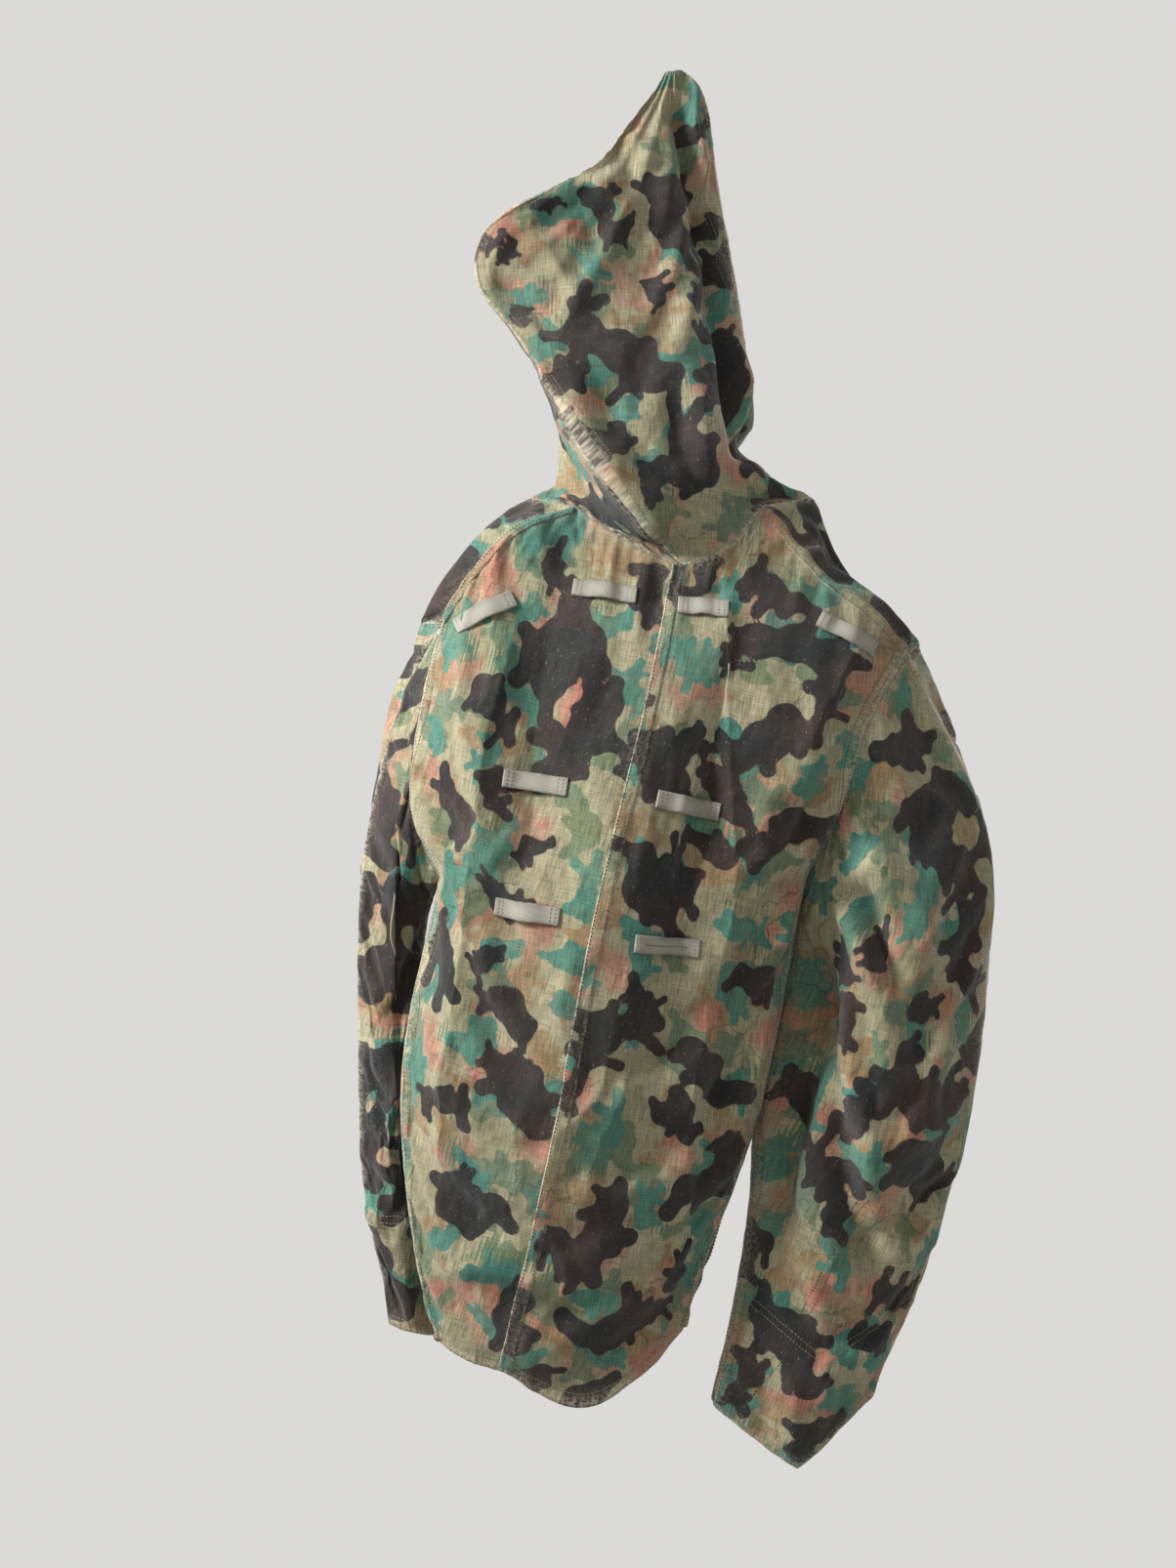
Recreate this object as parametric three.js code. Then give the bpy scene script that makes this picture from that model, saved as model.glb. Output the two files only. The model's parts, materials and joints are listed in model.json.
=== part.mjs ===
// A hooded camouflage smock, hung by the top edge of its hood.
// Millimetres, +Z up. The origin is the point that it hangs from. The back of the smock faces -Y
// and its buttoned front faces +Y. Every panel lies between named seams, as it is cut and sewn.
import * as THREE from 'three';

// ---------------------------------------------------------------- driving sizes
const CLOTH = 2.4; // thickness of a panel's solid
const SEAM_GAP = 0.5; // clearance between pieces that are sewn together
const ARMHOLE_GAP = 1.2; // clearance between a sleeve and the armhole that it swings in
const NECK_GAP = 0.8; // clearance between the hood and the neckline that turns below it
const HOOD_DROP = 456; // hang point down to the centre-back neck seam
const HOOD_BULGE = 175; // how far the empty crown slumps to the left
const NECK_DEPTH = 88; // centre-back neck out from the plane of the front
const BODY_LEAN = 12.2; // degrees by which the body hangs to the left of plumb
const BACK_LENGTH = 690; // neck seam down to the hem, along the centre back
const CHEST_RIGHT = 162; // centre back across to the right underarm
const CHEST_LEFT = 142; // centre back across to the left underarm
const CHEST_DEPTH = 152; // fullness of the hung back
const SLEEVE_DROP_RIGHT = 616; // right underarm level down to the tip of the cuff, plus the armhole
const SLEEVE_DROP_LEFT = 580; // the same for the left sleeve, which is bunched at its shoulder
const CUFF_FACING = 105; // width of the stitched facing inside each cuff
const HEM_FACING = 12; // width of the turned hem
const CASING = 22; // width of the turned edge around the face opening
const FELL_WIDTH = 11; // width of the flat-felled centre-back seam
const PLACKET_WIDTH = 40; // width of the strip that the front buttons through
const TRIM_CLOTH = 1.2; // thickness of a folded edge, seam, placket or tape
const LOOP_LENGTH = 52;
const LOOP_WIDTH = 15;
const LOOP_BOW = 4; // how far a loop stands off the cloth at its middle
const LOOP_STITCHED = 9; // length at each end of a loop that is sewn flat
const TRIM_CLEARANCE = 0.7; // trim off the cloth that it is sewn to
const FACING_CLEARANCE = 0.96; // facings inside off the cloth that they line
const BUTTON_DIAMETER = 17;
const BUTTON_THICKNESS = 3;
const BUTTON_COUNT = 6;
const BUTTON_EDGE = 1; // rounding of a button's rim
const BUTTON_CLEARANCE = 1; // a flat button off the curved placket

// ---------------------------------------------------------------- frames
const lean = THREE.MathUtils.degToRad(BODY_LEAN);
const ACROSS = new THREE.Vector3(Math.cos(lean), 0, -Math.sin(lean));
const DOWN = new THREE.Vector3(-Math.sin(lean), 0, -Math.cos(lean));
const OUT = new THREE.Vector3(0, -1, 0);

// A point on the leaning body: across from the centre back, down from its neck, out to the back.
function body(across, down, out) {
  return new THREE.Vector3(0, 0, -HOOD_DROP)
    .addScaledVector(ACROSS, across)
    .addScaledVector(DOWN, down)
    .addScaledVector(OUT, out);
}

// A point on the hood, from the hang point.
function hood(across, down, out) {
  return new THREE.Vector3(across, -out, -down);
}

// ---------------------------------------------------------------- seams
// A seam is a function of its share s, from 0 to 1, that gives a point.
function seam(...points) {
  const curve = new THREE.CatmullRomCurve3(points, false, 'centripetal');
  curve.arcLengthDivisions = 300;
  return (s) => curve.getPointAt(THREE.MathUtils.clamp(s, 0, 1));
}

function stretch(line, from, to) {
  return (s) => line(from + (to - from) * s);
}

// Two seams end to end, the first taking so many of the steps that both are divided into, so
// that the pieces on either side of a seam share the same points along it.
function joined(first, firstSteps, second, secondSteps) {
  const split = firstSteps / (firstSteps + secondSteps);
  return (s) => (s <= split ? first(s / split) : second((s - split) / (1 - split)));
}

// ---------------------------------------------------------------- surfaces
// Roundness of a section from its ridge (u = 0) to its side (u = 1): 1 is flat, 2 an ellipse.
function roundShare(u, roundness) {
  return 1 - Math.pow(Math.max(0, 1 - Math.pow(u, roundness)), 1 / roundness);
}

// The cloth between four seams. Across and down it is the blend of its four edges. Its depth
// is blended by a rounded share, so that two such surfaces meet smoothly at their ridge.
function surface({ ridge, side, top, bottom, roundness }) {
  const corners = [ridge(0), side(0), ridge(1), side(1)];
  return (u, v) => {
    const edges = [ridge(v), side(v), top(u), bottom(u)];
    const blend = (axis, share) => {
      const lengthwise = (1 - share) * edges[0][axis] + share * edges[1][axis];
      const crosswise = (1 - v) * edges[2][axis] + v * edges[3][axis];
      const upper = (1 - share) * corners[0][axis] + share * corners[1][axis];
      const lower = (1 - share) * corners[2][axis] + share * corners[3][axis];
      return lengthwise + crosswise - (1 - v) * upper - v * lower;
    };
    return new THREE.Vector3(blend('x', u), blend('y', roundShare(u, roundness)), blend('z', u));
  };
}

// An edge whose depth follows the same round share.
function roundEdge(from, to, roundness) {
  return (u) => {
    const point = from.clone().lerp(to, u);
    point.y = THREE.MathUtils.lerp(from.y, to.y, roundShare(u, roundness));
    return point;
  };
}

// The way into a tube of cloth: down the slope of an elliptical section about its core line.
function inwardFrom(coreTop, coreBottom, halfWidth, halfDepth) {
  const core = new THREE.Line3(coreTop, coreBottom);
  const axis = coreBottom.clone().sub(coreTop).normalize();
  const wide = new THREE.Vector3().crossVectors(axis, OUT).normalize();
  const deep = new THREE.Vector3().crossVectors(wide, axis).normalize();
  return (point) => {
    const away = core.closestPointToPoint(point, true, new THREE.Vector3()).sub(point);
    return new THREE.Vector3()
      .addScaledVector(wide, away.dot(wide) / (halfWidth * halfWidth))
      .addScaledVector(axis, away.dot(axis) / (halfWidth * halfWidth))
      .addScaledVector(deep, away.dot(deep) / (halfDepth * halfDepth))
      .normalize();
  };
}

// The square way off a grid of points at one of them, from its neighbours.
function squareOff(points, row, column) {
  const line = points[row];
  const last = line.length - 1;
  const over = line[Math.min(column + 1, last)].clone().sub(line[column - 1]);
  const down = points[row + 1][column].clone().sub(points[row - 1][column]);
  return over.cross(down).normalize();
}

// A panel is a grid of points on its outer face, each with its way inwards: square to the cloth,
// and along its edges the way that the neighbouring panel shares, but for a side that is free.
// The edges stand back from the seams by the clearances given, in the order u0, u1, v0, v1.
function panelGrid(face, inward, columns, rows, gaps, freeSide = false) {
  const points = [];
  for (let row = 0; row <= rows; row += 1) {
    const line = [];
    for (let column = 0; column <= columns; column += 1) {
      line.push(face(column / columns, row / rows));
    }
    points.push(line);
  }
  const pull = (from, towards, gap) => {
    const step = towards.clone().sub(from);
    return from.clone().addScaledVector(step.normalize(), gap);
  };
  const sharedColumns = freeSide ? [0] : [0, columns];
  const isEdge = (row, column) => row % rows === 0 || sharedColumns.includes(column);
  const pieces = points.map((line, row) => line.map((point, column) => ({
    point,
    inward: isEdge(row, column) ? inward(point) : squareOff(points, row, column),
  })));
  const middle = pieces[rows / 2][Math.floor(columns / 2)];
  const turn = Math.sign(middle.inward.dot(inward(middle.point)));
  pieces.forEach((line, row) => line.forEach((piece, column) => {
    if (!isEdge(row, column)) piece.inward.multiplyScalar(turn);
  }));
  for (const line of pieces) {
    line[0].point = pull(line[0].point, line[1].point, gaps[0]);
    line[columns].point = pull(line[columns].point, line[columns - 1].point, gaps[1]);
  }
  for (let column = 0; column <= columns; column += 1) {
    pieces[0][column].point = pull(pieces[0][column].point, pieces[1][column].point, gaps[2]);
    const end = pieces[rows][column];
    end.point = pull(end.point, pieces[rows - 1][column].point, gaps[3]);
  }
  return pieces;
}

// A point on a panel's facets at (u, v), lifted outwards by so many millimetres.
function onPanel(grid, u, v, lift) {
  const rows = grid.length - 1;
  const columns = grid[0].length - 1;
  const row = Math.min(rows - 1, Math.max(0, Math.floor(v * rows)));
  const column = Math.min(columns - 1, Math.max(0, Math.floor(u * columns)));
  const down = v * rows - row;
  const over = u * columns - column;
  const corner = (key, below, beside) => grid[row + below][column + beside][key];
  // The facets of each square of the grid meet along its diagonal, which is kept to here.
  const [far, halfway] = down >= over ? [down, [1, 0]] : [over, [0, 1]];
  const near = Math.min(down, over);
  const mix = (key) => corner(key, 0, 0).clone()
    .multiplyScalar(1 - far)
    .addScaledVector(corner(key, ...halfway), far - near)
    .addScaledVector(corner(key, 1, 1), near);
  return mix('point').addScaledVector(mix('inward'), -lift);
}

// The width of a panel at v, and its length at u, along the cloth.
const MEASURE_STEPS = 24;

function lengthAlong(pointAt) {
  let total = 0;
  for (let i = 0; i < MEASURE_STEPS; i += 1) {
    total += pointAt(i / MEASURE_STEPS).distanceTo(pointAt((i + 1) / MEASURE_STEPS));
  }
  return total;
}

function widthAt(grid, v) {
  return lengthAlong((u) => onPanel(grid, u, v, 0));
}

function heightAt(grid, u) {
  return lengthAlong((v) => onPanel(grid, u, v, 0));
}

// ---------------------------------------------------------------- solids
// A closed solid between an outer and an inner grid of points of the same size.
function solidBetween(outer, inner) {
  const rows = outer.length;
  const columns = outer[0].length;
  const positions = [];
  for (const grid of [outer, inner]) {
    for (const line of grid) {
      for (const point of line) positions.push(point.x, point.y, point.z);
    }
  }
  const indices = [];
  const outerAt = (row, column) => row * columns + column;
  const innerAt = (row, column) => rows * columns + row * columns + column;
  const quad = (a, b, c, d) => indices.push(a, b, c, a, c, d);
  for (let row = 0; row < rows - 1; row += 1) {
    for (let column = 0; column < columns - 1; column += 1) {
      const first = [row, column];
      const below = [row + 1, column];
      const beside = [row, column + 1];
      const across = [row + 1, column + 1];
      quad(...[first, below, across, beside].map((corner) => outerAt(...corner)));
      quad(...[first, beside, across, below].map((corner) => innerAt(...corner)));
    }
  }
  for (let row = 0; row < rows - 1; row += 1) {
    const last = columns - 1;
    quad(outerAt(row, 0), innerAt(row, 0), innerAt(row + 1, 0), outerAt(row + 1, 0));
    quad(outerAt(row, last), outerAt(row + 1, last), innerAt(row + 1, last), innerAt(row, last));
  }
  for (let column = 0; column < columns - 1; column += 1) {
    const last = rows - 1;
    quad(outerAt(0, column), outerAt(0, column + 1), innerAt(0, column + 1), innerAt(0, column));
    const next = column + 1;
    quad(outerAt(last, column), innerAt(last, column), innerAt(last, next), outerAt(last, next));
  }
  const geometry = new THREE.BufferGeometry();
  geometry.setAttribute('position', new THREE.Float32BufferAttribute(positions, 3));
  geometry.setIndex(indices);
  geometry.computeVertexNormals();
  if (signedVolume(geometry) < 0) turnInsideOut(geometry);
  return geometry;
}

function signedVolume(geometry) {
  const position = geometry.getAttribute('position');
  const index = geometry.getIndex();
  const corner = [new THREE.Vector3(), new THREE.Vector3(), new THREE.Vector3()];
  let volume = 0;
  for (let i = 0; i < index.count; i += 3) {
    corner.forEach((point, k) => point.fromBufferAttribute(position, index.getX(i + k)));
    volume += corner[0].dot(new THREE.Vector3().crossVectors(corner[1], corner[2])) / 6;
  }
  return volume;
}

function turnInsideOut(geometry) {
  const array = geometry.getIndex().array;
  for (let i = 0; i < array.length; i += 3) {
    const swap = array[i + 1];
    array[i + 1] = array[i + 2];
    array[i + 2] = swap;
  }
  geometry.computeVertexNormals();
}

function panelSolid(grid, thickness = CLOTH) {
  const outer = grid.map((line) => line.map(({ point }) => point));
  const inner = grid.map((line) => line.map(({ point, inward }) => (
    point.clone().addScaledVector(inward, thickness))));
  return solidBetween(outer, inner);
}

// A band of folded cloth sewn to panels: place(across, along) gives the panel and its (u, v).
// It lies on their outer face, or inside them by the clearance given.
function bandSolid(place, across, along, insideBy = null) {
  const lower = insideBy === null ? TRIM_CLEARANCE : -(CLOTH + insideBy + TRIM_CLOTH);
  const layer = (lift) => {
    const rows = [];
    for (let i = 0; i <= along; i += 1) {
      const line = [];
      for (let j = 0; j <= across; j += 1) {
        const { grid, u, v } = place(j / across, i / along);
        line.push(onPanel(grid, u, v, lift));
      }
      rows.push(line);
    }
    return rows;
  };
  return solidBetween(layer(lower + TRIM_CLOTH), layer(lower));
}

const smock = new THREE.Group();

function addPiece(name, geometry, material) {
  const mesh = new THREE.Mesh(geometry, material);
  mesh.name = name;
  smock.add(mesh);
  return mesh;
}

function finish(color, roughness) {
  return new THREE.MeshStandardMaterial({ color, roughness, metalness: 0 });
}

const printedCotton = finish(0x7c8468, 0.95);
const sleeveCotton = finish(0x6d6a55, 0.95);
const cottonTape = finish(0xcfccc0, 0.9);
const hornButton = finish(0x4a3f33, 0.45);

// ---------------------------------------------------------------- divisions of the seams
const BACK_NECK_STEPS = 4;
const FRONT_NECK_STEPS = 5;
const SHOULDER_STEPS = 5;
const ARMHOLE_STEPS = 6;
const SIDE_STEPS = 10;
const BODY_ROWS = ARMHOLE_STEPS + SIDE_STEPS;
const SLEEVE_ROWS = 14;
const HOOD_ROWS = 16;
const HALF_GAP = SEAM_GAP / 2;

// ---------------------------------------------------------------- body: seam lines
const NECK_BACK = body(0, 0, NECK_DEPTH);
const NECK_FRONT = body(0, -56, 0);
const NECK_RIGHT = body(60, -66, 66);
const NECK_LEFT = body(-94, -32, 64);
const SHOULDER_RIGHT = body(206, 30, 72);
const SHOULDER_LEFT = body(-186, 88, 66);
const UNDERARM_RIGHT = body(CHEST_RIGHT, 238, 78);
const UNDERARM_LEFT = body(-CHEST_LEFT, 302, 72);
const HEM_BACK = body(0, BACK_LENGTH, 95);
const HEM_FRONT = body(46, BACK_LENGTH - 20, -5);
const HEM_RIGHT = body(CHEST_RIGHT - 20, BACK_LENGTH - 60, 70);
const HEM_LEFT = body(80 - CHEST_LEFT, BACK_LENGTH - 4, 72);

const centreBack = seam(
  NECK_BACK,
  body(0, 105, 135),
  body(-5, 280, CHEST_DEPTH),
  body(0, 475, CHEST_DEPTH - 12),
  HEM_BACK,
);
const centreFront = seam(NECK_FRONT, body(18, 100, -5), body(32, 360, -5), HEM_FRONT);

const sides = {
  right: {
    sideSeam: seam(
      UNDERARM_RIGHT,
      body(CHEST_RIGHT + 3, 440, 76),
      body(CHEST_RIGHT - 14, 575, 72),
      HEM_RIGHT,
    ),
    backArmhole: seam(SHOULDER_RIGHT, body(180, 100, 104), body(176, 170, 104), UNDERARM_RIGHT),
    frontArmhole: seam(
      SHOULDER_RIGHT,
      body(220, 22, 45),
      body(210, 52, 12),
      body(192, 118, 6),
      body(178, 190, 30),
      UNDERARM_RIGHT,
    ),
    shoulderSeam: seam(NECK_RIGHT, body(114, -20, 84), body(164, 6, 86), SHOULDER_RIGHT),
    backNeck: seam(NECK_BACK, body(30, -14, 86), body(48, -36, 78), NECK_RIGHT),
    frontNeck: seam(NECK_RIGHT, body(102, -86, 40), body(70, -78, 8), NECK_FRONT),
    backHem: seam(HEM_BACK, body(64, BACK_LENGTH + 17, 92), body(108, BACK_LENGTH - 14, 84), HEM_RIGHT),
    frontHem: seam(HEM_FRONT, body(94, BACK_LENGTH - 30, 0), HEM_RIGHT),
    frontRoundness: 2.4,
  },
  left: {
    sideSeam: seam(
      UNDERARM_LEFT,
      body(4 - CHEST_LEFT, 470, 82),
      body(48 - CHEST_LEFT, 620, 77),
      HEM_LEFT,
    ),
    backArmhole: seam(SHOULDER_LEFT, body(-188, 150, 80), body(-178, 250, 76), UNDERARM_LEFT),
    frontArmhole: seam(
      SHOULDER_LEFT,
      body(-206, 94, 40),
      body(-194, 130, 12),
      body(-182, 190, 10),
      body(-165, 258, 30),
      UNDERARM_LEFT,
    ),
    shoulderSeam: seam(NECK_LEFT, body(-139, 0, 80), body(-167, 46, 82), SHOULDER_LEFT),
    backNeck: seam(NECK_BACK, body(-32, -6, 86), body(-64, -17, 78), NECK_LEFT),
    frontNeck: seam(NECK_LEFT, body(-138, -34, 38), body(-80, -46, 6), NECK_FRONT),
    backHem: seam(HEM_BACK, body(-32, BACK_LENGTH, 90), HEM_LEFT),
    frontHem: seam(HEM_FRONT, body(-14, BACK_LENGTH - 4, 24), HEM_LEFT),
    frontRoundness: 1.3,
  },
};

// ---------------------------------------------------------------- body: panels
const BACK_ROUNDNESS = 1.9;
const bodyInward = inwardFrom(body(0, 120, 70), body(20, 640, 50), 160, 80);
const panels = {};

for (const [name, side] of Object.entries(sides)) {
  const back = surface({
    ridge: centreBack,
    side: joined(side.backArmhole, ARMHOLE_STEPS, side.sideSeam, SIDE_STEPS),
    top: joined(side.backNeck, BACK_NECK_STEPS, side.shoulderSeam, SHOULDER_STEPS),
    bottom: side.backHem,
    roundness: BACK_ROUNDNESS,
  });
  const front = surface({
    ridge: joined(side.frontNeck, FRONT_NECK_STEPS, centreFront, BODY_ROWS - FRONT_NECK_STEPS),
    side: joined(side.frontArmhole, ARMHOLE_STEPS, side.sideSeam, SIDE_STEPS),
    top: side.shoulderSeam,
    bottom: side.frontHem,
    roundness: side.frontRoundness,
  });
  const edges = [HALF_GAP, HALF_GAP, HALF_GAP, 0];
  const backColumns = BACK_NECK_STEPS + SHOULDER_STEPS;
  panels[`back_${name}`] = panelGrid(back, bodyInward, backColumns, BODY_ROWS, edges);
  panels[`front_${name}`] = panelGrid(front, bodyInward, SHOULDER_STEPS, BODY_ROWS, edges);
  addPiece(`back_${name}`, panelSolid(panels[`back_${name}`]), printedCotton);
  addPiece(`front_${name}`, panelSolid(panels[`front_${name}`]), printedCotton);
}

// ---------------------------------------------------------------- hood
const TIP = hood(0, 0, 0);
const TIP_SHARE = 0.02; // the panels start this far down their seams, where the peak is folded
const crownSeam = seam(
  TIP,
  hood(-42, 50, 25),
  hood(-76, 98, 42),
  hood(60 - HOOD_BULGE, 122, 56),
  hood(3 - HOOD_BULGE, 162, 60),
  hood(-HOOD_BULGE, 205, 68),
  hood(27 - HOOD_BULGE, 245, 84),
  hood(-98, 322, 105),
  hood(-45, 396, 116),
  NECK_BACK,
);
const faceEdges = {
  right: seam(
    TIP,
    hood(24, 22, 0),
    hood(40, 110, -2),
    hood(62, 235, -4),
    hood(66, 330, -4),
    NECK_FRONT,
  ),
  left: seam(
    TIP,
    hood(-16, 38, -3),
    hood(-48, 130, -5),
    hood(-74, 235, -5),
    hood(-60, 345, -5),
    NECK_FRONT,
  ),
};
const hoodInward = inwardFrom(hood(-10, 50, 12), hood(-10, 420, 45), 90, 50);
const HOOD_ROUNDNESS = { right: 1.7, left: 0.75 };

for (const [name, side] of Object.entries(sides)) {
  const neckline = joined(side.backNeck, BACK_NECK_STEPS, side.frontNeck, FRONT_NECK_STEPS);
  const whole = surface({
    ridge: crownSeam,
    side: faceEdges[name],
    top: () => TIP.clone(),
    bottom: neckline,
    roundness: HOOD_ROUNDNESS[name],
  });
  const face = (u, v) => whole(u, TIP_SHARE + (1 - TIP_SHARE) * v);
  const columns = BACK_NECK_STEPS + FRONT_NECK_STEPS;
  const key = `hood_${name}`;
  panels[key] = panelGrid(face, hoodInward, columns, HOOD_ROWS, [HALF_GAP, 0, 0, NECK_GAP], true);
  addPiece(key, panelSolid(panels[key]), printedCotton);
}

// ---------------------------------------------------------------- sleeves
const sleeves = {
  right: {
    outer: [body(306, 163, 58), body(335, 294, 62), body(344, 420, 60), body(334, 560, 54)],
    outerCuff: body(316, SLEEVE_DROP_RIGHT + 35, 50),
    inner: [body(178, 300, 56), body(184, 440, 48), body(182, 540, 50)],
    innerCuff: body(182, SLEEVE_DROP_RIGHT + 80, 58),
    back: [body(210, 190, 122), body(240, 330, 132), body(257, 430, 126), body(256, 540, 106)],
    backCuff: body(260, SLEEVE_DROP_RIGHT + 108, 80),
    front: [body(233, 198, 0), body(260, 330, -6), body(270, 450, -8), body(262, 580, -6)],
    frontCuff: body(251, SLEEVE_DROP_RIGHT + 66, 18),
    inward: inwardFrom(body(215, 150, 60), body(255, 600, 50), 85, 65),
    roundness: 1.8,
  },
  left: {
    outer: [body(-208, 160, 42), body(-213, 300, 40), body(-186, 450, 34), body(-150, 590, 34)],
    outerCuff: body(-103, SLEEVE_DROP_LEFT + 110, 34),
    inner: [body(-146, 350, 38), body(-130, 457, 30), body(-92, 600, 28)],
    innerCuff: body(-62, SLEEVE_DROP_LEFT + 114, 30),
    back: [body(-188, 260, 68), body(-170, 351, 66), body(-153, 441, 64), body(-115, 590, 60)],
    backCuff: body(-82, SLEEVE_DROP_LEFT + 110, 54),
    front: [body(-188, 272, -4), body(-172, 400, -9), body(-140, 540, -10)],
    frontCuff: body(-88, SLEEVE_DROP_LEFT + 116, 0),
    inward: inwardFrom(body(-188, 200, 35), body(-110, 640, 25), 40, 35),
    roundness: 1.8,
  },
};
const SLEEVE_COLUMNS = ARMHOLE_STEPS;
const CREST = 0.5; // the share of the armhole where a sleeve panel is fullest

for (const [name, sleeve] of Object.entries(sleeves)) {
  const side = sides[name];
  const shoulder = side.backArmhole(0);
  const underarm = side.backArmhole(1);
  const outerSeam = seam(shoulder, ...sleeve.outer, sleeve.outerCuff);
  const innerSeam = seam(underarm, ...sleeve.inner, sleeve.innerCuff);
  for (const facing of ['back', 'front']) {
    const armhole = side[`${facing}Armhole`];
    const cuff = sleeve[`${facing}Cuff`];
    const crest = seam(armhole(CREST), ...sleeve[facing], cuff);
    const outerHalf = surface({
      ridge: crest,
      side: outerSeam,
      top: stretch(armhole, CREST, 0),
      bottom: roundEdge(cuff, sleeve.outerCuff, sleeve.roundness),
      roundness: sleeve.roundness,
    });
    const innerHalf = surface({
      ridge: crest,
      side: innerSeam,
      top: stretch(armhole, CREST, 1),
      bottom: roundEdge(cuff, sleeve.innerCuff, sleeve.roundness),
      roundness: sleeve.roundness,
    });
    const face = (u, v) => (
      u < CREST ? outerHalf(1 - u / CREST, v) : innerHalf((u - CREST) / (1 - CREST), v)
    );
    const key = `sleeve_${name}_${facing}`;
    const edges = [HALF_GAP, HALF_GAP, ARMHOLE_GAP, 0];
    panels[key] = panelGrid(face, sleeve.inward, SLEEVE_COLUMNS, SLEEVE_ROWS, edges);
    addPiece(key, panelSolid(panels[key]), sleeveCotton);
  }
}

// ---------------------------------------------------------------- seams and turned edges
// The place so many millimetres from the seam that two panels share at u = 0: left is negative.
function besideRidge(left, right, offset, v) {
  const grid = offset < 0 ? left : right;
  return { grid, u: Math.abs(offset) / widthAt(grid, v), v };
}

const SEAM_ENDS = 0.012; // a strip stops this share short of the edges that it runs to
const BAND_STEPS = 2; // steps across a narrow band, and along it for each step of the panel

function fromTo(from, to, share) {
  return from + (to - from) * share;
}

addPiece(
  'centre_back_seam',
  bandSolid((across, along) => besideRidge(
    panels.back_left,
    panels.back_right,
    (across - 0.5) * FELL_WIDTH,
    THREE.MathUtils.clamp(along, SEAM_ENDS, 1 - SEAM_ENDS),
  ), BAND_STEPS, BAND_STEPS * BODY_ROWS),
  printedCotton,
);

for (const name of ['right', 'left']) {
  const back = panels[`back_${name}`];
  const front = panels[`front_${name}`];
  const neckShare = BACK_NECK_STEPS / (BACK_NECK_STEPS + SHOULDER_STEPS);
  addPiece(
    `shoulder_seam_${name}`,
    bandSolid((across, along) => {
      const share = THREE.MathUtils.clamp(along, 2 * SEAM_ENDS, 1 - 2 * SEAM_ENDS);
      const offset = (across - 0.5) * FELL_WIDTH;
      if (offset < 0) return { grid: front, u: share, v: -offset / heightAt(front, share) };
      const u = fromTo(neckShare, 1, share);
      return { grid: back, u, v: offset / heightAt(back, u) };
    }, BAND_STEPS, BAND_STEPS * SHOULDER_STEPS),
    printedCotton,
  );
}

const HEM_MARGIN = 0.08; // the hem's facing stops this share short of each side seam

for (const name of ['back', 'front']) {
  const left = panels[`${name}_left`];
  const right = panels[`${name}_right`];
  addPiece(
    `hem_facing_${name}`,
    bandSolid((across, along) => {
      const offset = THREE.MathUtils.clamp(fromTo(-1, 1, along), HEM_MARGIN - 1, 1 - HEM_MARGIN);
      const grid = offset < 0 ? left : right;
      const u = Math.abs(offset);
      const v = 1 - (HEM_FACING * across) / heightAt(grid, u);
      return { grid, u, v };
    }, 1, 2 * BAND_STEPS * (left[0].length - 1), FACING_CLEARANCE),
    printedCotton,
  );
}

const CASING_TOP = 2 / HOOD_ROWS; // the casing starts this share of the face edge below the peak
const CASING_END = 12 / HOOD_ROWS; // and ends short of the neck, where the two edges meet
const CASING_STEPS = 4 * HOOD_ROWS * (CASING_END - CASING_TOP);
const CASING_MOST = 0.45; // and takes no more than this share of the narrowing panel

for (const name of ['right', 'left']) {
  const grid = panels[`hood_${name}`];
  addPiece(
    `hood_casing_${name}`,
    bandSolid((across, along) => {
      const v = fromTo(CASING_TOP, CASING_END, along);
      return { grid, u: 1 - across * Math.min(CASING_MOST, CASING / widthAt(grid, v)), v };
    }, BAND_STEPS, CASING_STEPS, FACING_CLEARANCE),
    printedCotton,
  );
}

const CUFF_MARGIN = 0.09; // a cuff's facing stops this share short of each sleeve seam
const CUFF_STEPS = 7; // steps up the cuff's facing

for (const name of Object.keys(sleeves)) {
  for (const facing of ['back', 'front']) {
    const grid = panels[`sleeve_${name}_${facing}`];
    addPiece(
      `cuff_facing_${name}_${facing}`,
      bandSolid((across, along) => {
        const u = THREE.MathUtils.clamp(along, CUFF_MARGIN, 1 - CUFF_MARGIN);
        return { grid, u, v: 1 - (CUFF_FACING * across) / heightAt(grid, u) };
      }, CUFF_STEPS, BAND_STEPS * SLEEVE_COLUMNS, FACING_CLEARANCE),
      sleeveCotton,
    );
  }
}

// ---------------------------------------------------------------- front fastening
// The placket starts this share down the line that runs round the neck and down the front.
const PLACKET_TOP = (FRONT_NECK_STEPS + 1) / BODY_ROWS;

function onFront(offset, share) {
  const v = Math.min(fromTo(PLACKET_TOP, 1, share), 1 - SEAM_ENDS);
  return besideRidge(panels.front_left, panels.front_right, offset, v);
}

addPiece(
  'button_placket',
  bandSolid((across, along) => (
    onFront((across - 0.5) * PLACKET_WIDTH, along)
  ), 2 * BAND_STEPS, BAND_STEPS * BODY_ROWS),
  printedCotton,
);

const buttonOutline = new THREE.Shape();
buttonOutline.absarc(0, 0, BUTTON_DIAMETER / 2 - BUTTON_EDGE, 0, 2 * Math.PI);
const buttonGeometry = new THREE.ExtrudeGeometry(buttonOutline, {
  depth: BUTTON_THICKNESS - 2 * BUTTON_EDGE,
  bevelThickness: BUTTON_EDGE,
  bevelSize: BUTTON_EDGE,
  bevelSegments: 1,
  curveSegments: 16,
});

const FIRST_BUTTON = 0.1; // shares of the placket's length
const LAST_BUTTON = 0.86;

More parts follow.
